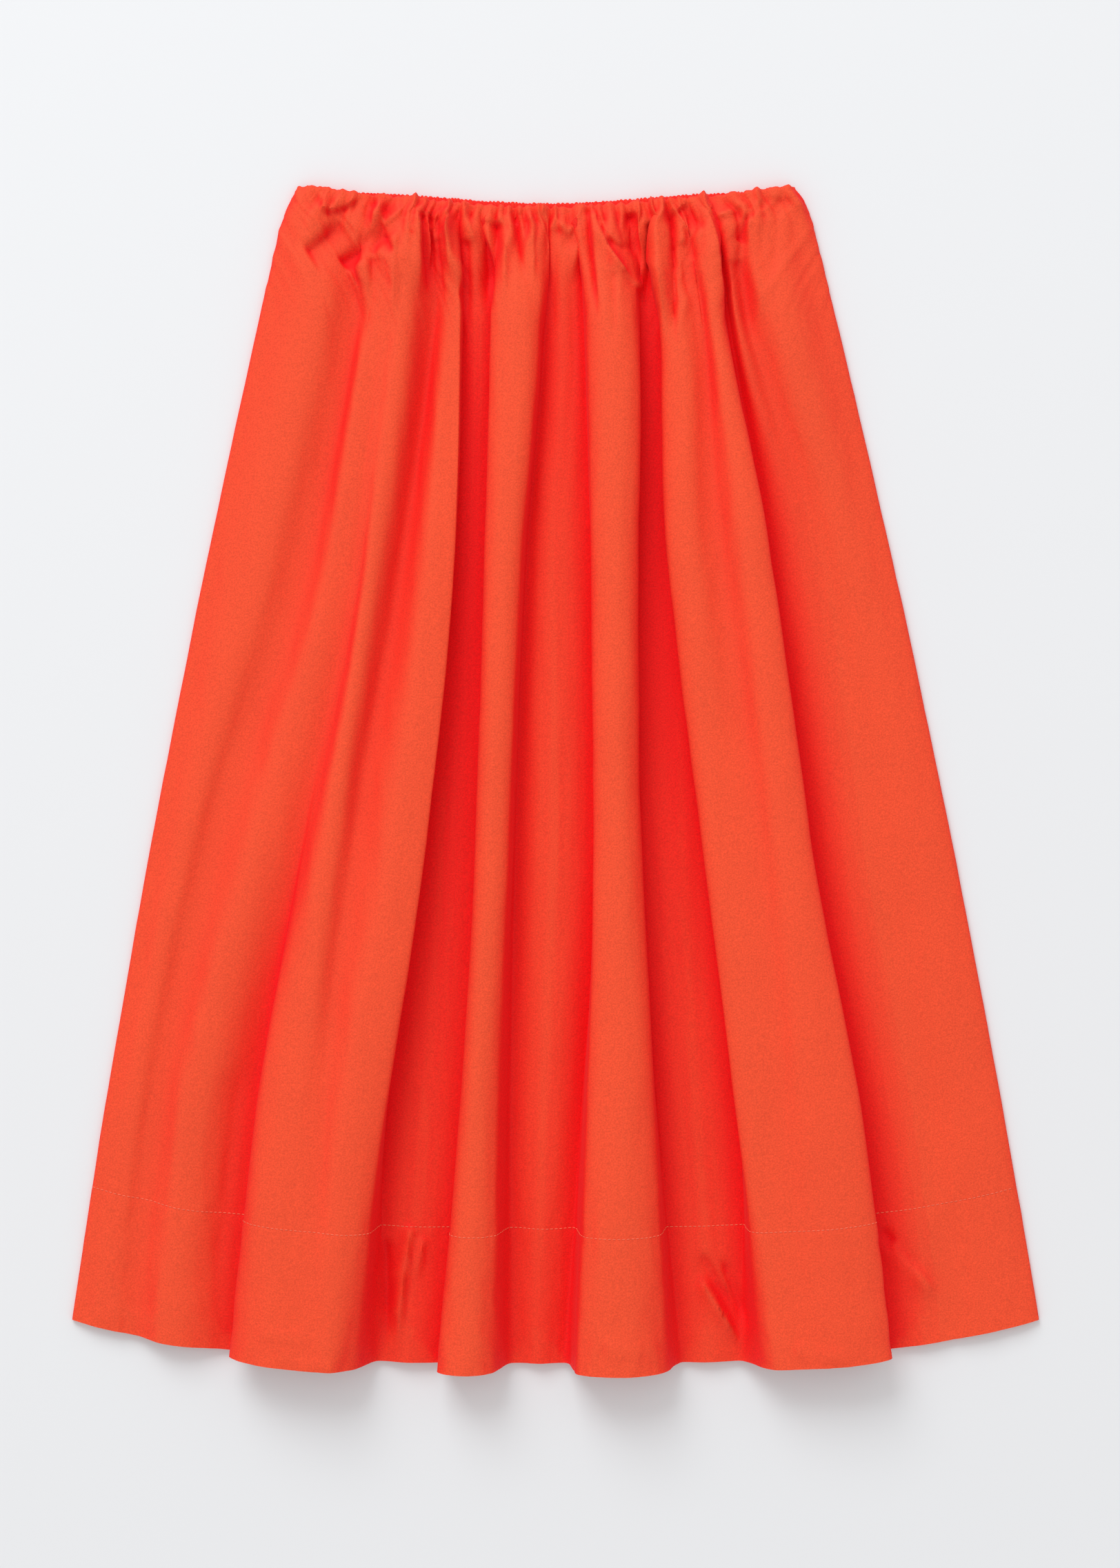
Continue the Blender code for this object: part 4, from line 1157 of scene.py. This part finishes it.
back_points, back_u, back_v = back_surface(np.linspace(CASING_END, HEM_LINE, BACK_ROWS))
back_cloth = upward_sheet(
    "back_cloth", back_points, back_u, back_v, BACK_THICKNESS, coral_back_cotton
)
back_hem_points, back_hem_u, back_hem_v = back_surface(np.linspace(HEM_LINE, 1.0, BACK_HEM_ROWS))
back_hem_cloth = upward_sheet(
    "back_hem_cloth", back_hem_points, back_hem_u, back_hem_v, HEM_THICKNESS, coral_back_cotton
)
back_stitches = stitch_object(
    "back_stitches", back_points[-1], -surface_normals(back_points)[-1], coral_thread
)
set_painted_shade_sky(back_cloth, np.ones(back_points.shape[:2]))
set_painted_shade_sky(back_hem_cloth, np.ones(back_hem_points.shape[:2]))
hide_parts("back")
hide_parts("back_hem")
print("back grid:", back_points.shape, "back hem grid:", back_hem_points.shape)

# %% [markdown]
# The elastic is hidden in a narrow tunnel of cloth on each panel, ruched into pleats of two or
# three millimetres. The back's tunnel peeks out above the front. It could be a bent tube with a
# bump on it, but the pleats stand out against the table, so they are part of the shape: an
# oblong section with round corners is carried along the waist edge and swells at each pleat.

# %% Waist casings
CASING_SIDES = 20
CASING_STEPS = 900
CASING_SHRINK = 3.0
CASING_CLOSING = 0.01
RUCHE_SPACING = (1.8, 3.6)
RUCHE_HEIGHT = (0.35, 1.0)
RUCHE_POWER = 1.8
RUCHE_DEPTH = 1.5
RUCHE_THICK = 0.5
MOST_RUCHES = 240
# How the pleats drift, as a share of the waist: size of each wave and how fast it runs
RUCHE_DRIFT = (0.0016, 40.0)
RUCHE_TWIST = (0.001, 3.0)
# Room that the section leaves for its pleats, deep and thick
RUCHE_ROOM = (0.7, 0.3)
SECTION_POWER = 0.6
# How steeply the back's tunnel rises from the corners, and how much later it starts
PEEK_STEEPNESS = 6.4
PEEK_START = 0.3
# Painted shade on the casings: the sky they are taken to see, least between the pleats and most on
# them
CASING_SHADE_SKY = (0.68, 0.84)
# Name, rise above the waist edge, lowest height, depth, thickness and seed
CASINGS = {
    "back": ("back_casing_ruche", 4.0, 0.2, 8.0, 3.6, 41),
    "front": ("front_casing_ruche", -2.0, 4.6, 6.0, 2.0, 42),
}


def pinched_pleats(share, turn, draw):
    """Heights from 0 to 1 of pleats of uneven width along the tunnel, drifting round it."""
    ends = np.cumsum(draw.uniform(*RUCHE_SPACING, MOST_RUCHES))
    ends = np.concatenate([[0.0], ends[ends < 2.0 * WAIST_HALF]]) / (2.0 * WAIST_HALF)
    drift = RUCHE_DRIFT[0] * np.sin(turn + RUCHE_DRIFT[1] * share)
    drift = drift + RUCHE_TWIST[0] * np.sin(RUCHE_TWIST[1] * turn)
    place = np.clip(share + drift, 0.0, ends[-1] - 1e-6)
    number = np.searchsorted(ends, place, side="right") - 1
    part = (place - ends[number]) / (ends[number + 1] - ends[number])
    tall = draw.uniform(*RUCHE_HEIGHT, len(ends))
    return tall[number] * (1.0 - np.abs(2.0 * part - 1.0) ** RUCHE_POWER)


def casing_object(name, peek, low, depth, thick, seed):
    """A ruched tunnel: an oblong section, a circle raised to a power, carried along the waist
    edge, with pinched pleats added to it."""
    share = np.linspace(0.0, 1.0, CASING_STEPS)[:, None]
    turn = np.linspace(0.0, 2.0 * np.pi, CASING_SIDES, endpoint=False)[None, :]
    pleat = pinched_pleats(share, turn, np.random.default_rng(seed))
    closing = smooth_step(np.minimum(share, 1.0 - share) / CASING_CLOSING)
    half_y = (depth / 2 - RUCHE_ROOM[0] + RUCHE_DEPTH * pleat) * closing
    half_z = (thick / 2 - RUCHE_ROOM[1] + RUCHE_THICK * pleat) * closing
    round_y = np.sign(np.cos(turn)) * np.abs(np.cos(turn)) ** SECTION_POWER
    round_z = np.sign(np.sin(turn)) * np.abs(np.sin(turn)) ** SECTION_POWER
    x = middle_x(0.0) + (half_width(0.0) - CASING_SHRINK) * (2.0 * share - 1.0) + 0.0 * turn
    raised = peek * smooth_step(PEEK_STEEPNESS * share * (1.0 - share) - PEEK_START)
    y = page_y(share, 0.0) + raised - depth / 2 + half_y * round_y
    z = low + thick / 2 + half_z * round_z
    points = np.stack([x, y, z], axis=2)
    corner = np.arange(points.shape[0] * CASING_SIDES).reshape(-1, CASING_SIDES)
    beside = np.roll(corner, -1, axis=1)
    faces = [corner[:-1], corner[1:], beside[1:], beside[:-1]]
    uv = np.stack([x, turn * depth / np.pi + 0.0 * x], axis=2).reshape(-1, 2) * MM
    made = mesh_object(name, points.reshape(-1, 3), (np.stack(faces, axis=2).reshape(-1, 4),), uv)
    made.data.materials.append(coral_casing_cotton)
    # Painted shade: a darker red between the pleats
    low_sky, high_sky = CASING_SHADE_SKY
    set_painted_shade_sky(made, low_sky + (high_sky - low_sky) * pleat)
    return made


back_casing = casing_object(*CASINGS["back"])
front_casing = casing_object(*CASINGS["front"])
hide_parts("back_waist_casing")
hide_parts("front_waist_casing")
print("casings:", len(back_casing.data.polygons), "faces each")

# %% [markdown]
# The skirt has no moving part, so every piece rides on the one body. A table groups the pieces
# by the finish they wear, cotton or thread, and prints it. One table serves both, because a piece
# that is left out of it is easy to see.

# %% Ride and finishes
FINISHES = {
    "cotton": (front_cloth, front_hem_cloth, back_cloth, back_hem_cloth),
    "cotton_casing": (back_casing, front_casing),
    "thread": (hem_stitches, back_stitches),
}
for finish, pieces in FINISHES.items():
    for piece in pieces:
        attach(piece, "root")
    print(finish, [piece.name for piece in pieces])

# %% [markdown]


# %% [markdown]
# The skirt was photographed on a plain pale surface that runs out of the picture. A curved
# backdrop could be built, but the camera looks straight down, so a large matt sheet at the
# height of the table is all that is needed.

# %% Floor
FLOOR_HALF = 3000.0
PAPER = (0.80, 0.815, 0.83, 1.0)
PAPER_ROUGHNESS = 0.9
floor_corners = FLOOR_HALF * np.array([[-1, -1, 0], [1, -1, 0], [1, 1, 0], [-1, 1, 0]], float)
floor = mesh_object("floor", floor_corners, (np.array([[0, 1, 2, 3]]),))
paper = bpy.data.materials.new("pale paper")
paper.use_nodes = True
set_inputs(paper.node_tree.nodes["Principled BSDF"], Base_Color=PAPER, Roughness=PAPER_ROUGHNESS)
floor.data.materials.append(paper)
print("floor:", round(2 * FLOOR_HALF), "mm square")

# %% [markdown]
# The folds show because the light comes from the waist end and a little from the left, low
# enough to leave a soft shadow below the hem. The sun would draw hard edges, so a large lamp
# far off does that, and a pale room all round fills the valleys.

# %% Light
KEY_PLACE = (-2.0, 4.9, 3.7)
KEY_SIZE = 3.6
KEY_POWER = 240.0
KEY_COLOUR = (0.94, 0.98, 1.0)
ROOM_COLOUR = (1.0, 0.975, 0.97, 1.0)
ROOM_STRENGTH = 0.775


def area_light(name, place, size, power, colour):
    """A square soft light that looks at the origin."""
    light = bpy.data.lights.new(name, "AREA")
    light.size = size
    light.energy = power
    light.color = colour
    made = bpy.data.objects.new(name, light)
    made.location = place
    made.rotation_mode = "QUATERNION"
    made.rotation_quaternion = (-Vector(place)).to_track_quat("-Z", "Y")
    bpy.context.scene.collection.objects.link(made)
    return made


key = area_light("key", KEY_PLACE, KEY_SIZE, KEY_POWER, KEY_COLOUR)
room = bpy.data.worlds.new("studio")
bpy.context.scene.world = room
room.use_nodes = True
set_inputs(room.node_tree.nodes["Background"], Color=ROOM_COLOUR, Strength=ROOM_STRENGTH)
print("key light", round(key.location.length, 2), "m away")

# %% [markdown]
# The photograph was taken from straight above. A camera without perspective could be used, but
# the hem's high folds reach outward in the picture, as they do for a camera that looks down
# from two metres. Its lens shows the skirt at the size and place it has there.

# %% Camera
CAMERA_PLACE = (0.0032, -0.0048, 2.1)
LENS = 67.9
SENSOR = 36.0
NEAREST = 0.05
FURTHEST = 20.0
camera_data = bpy.data.cameras.new("camera")
camera_data.lens = LENS
camera_data.sensor_width = SENSOR
camera_data.clip_start = NEAREST
camera_data.clip_end = FURTHEST
camera = bpy.data.objects.new("camera", camera_data)
camera.location = CAMERA_PLACE
scene = bpy.context.scene
scene.collection.objects.link(camera)
scene.camera = camera
scene.view_settings.view_transform = "Standard"
print("camera", CAMERA_PLACE[2], "m up, lens", LENS)
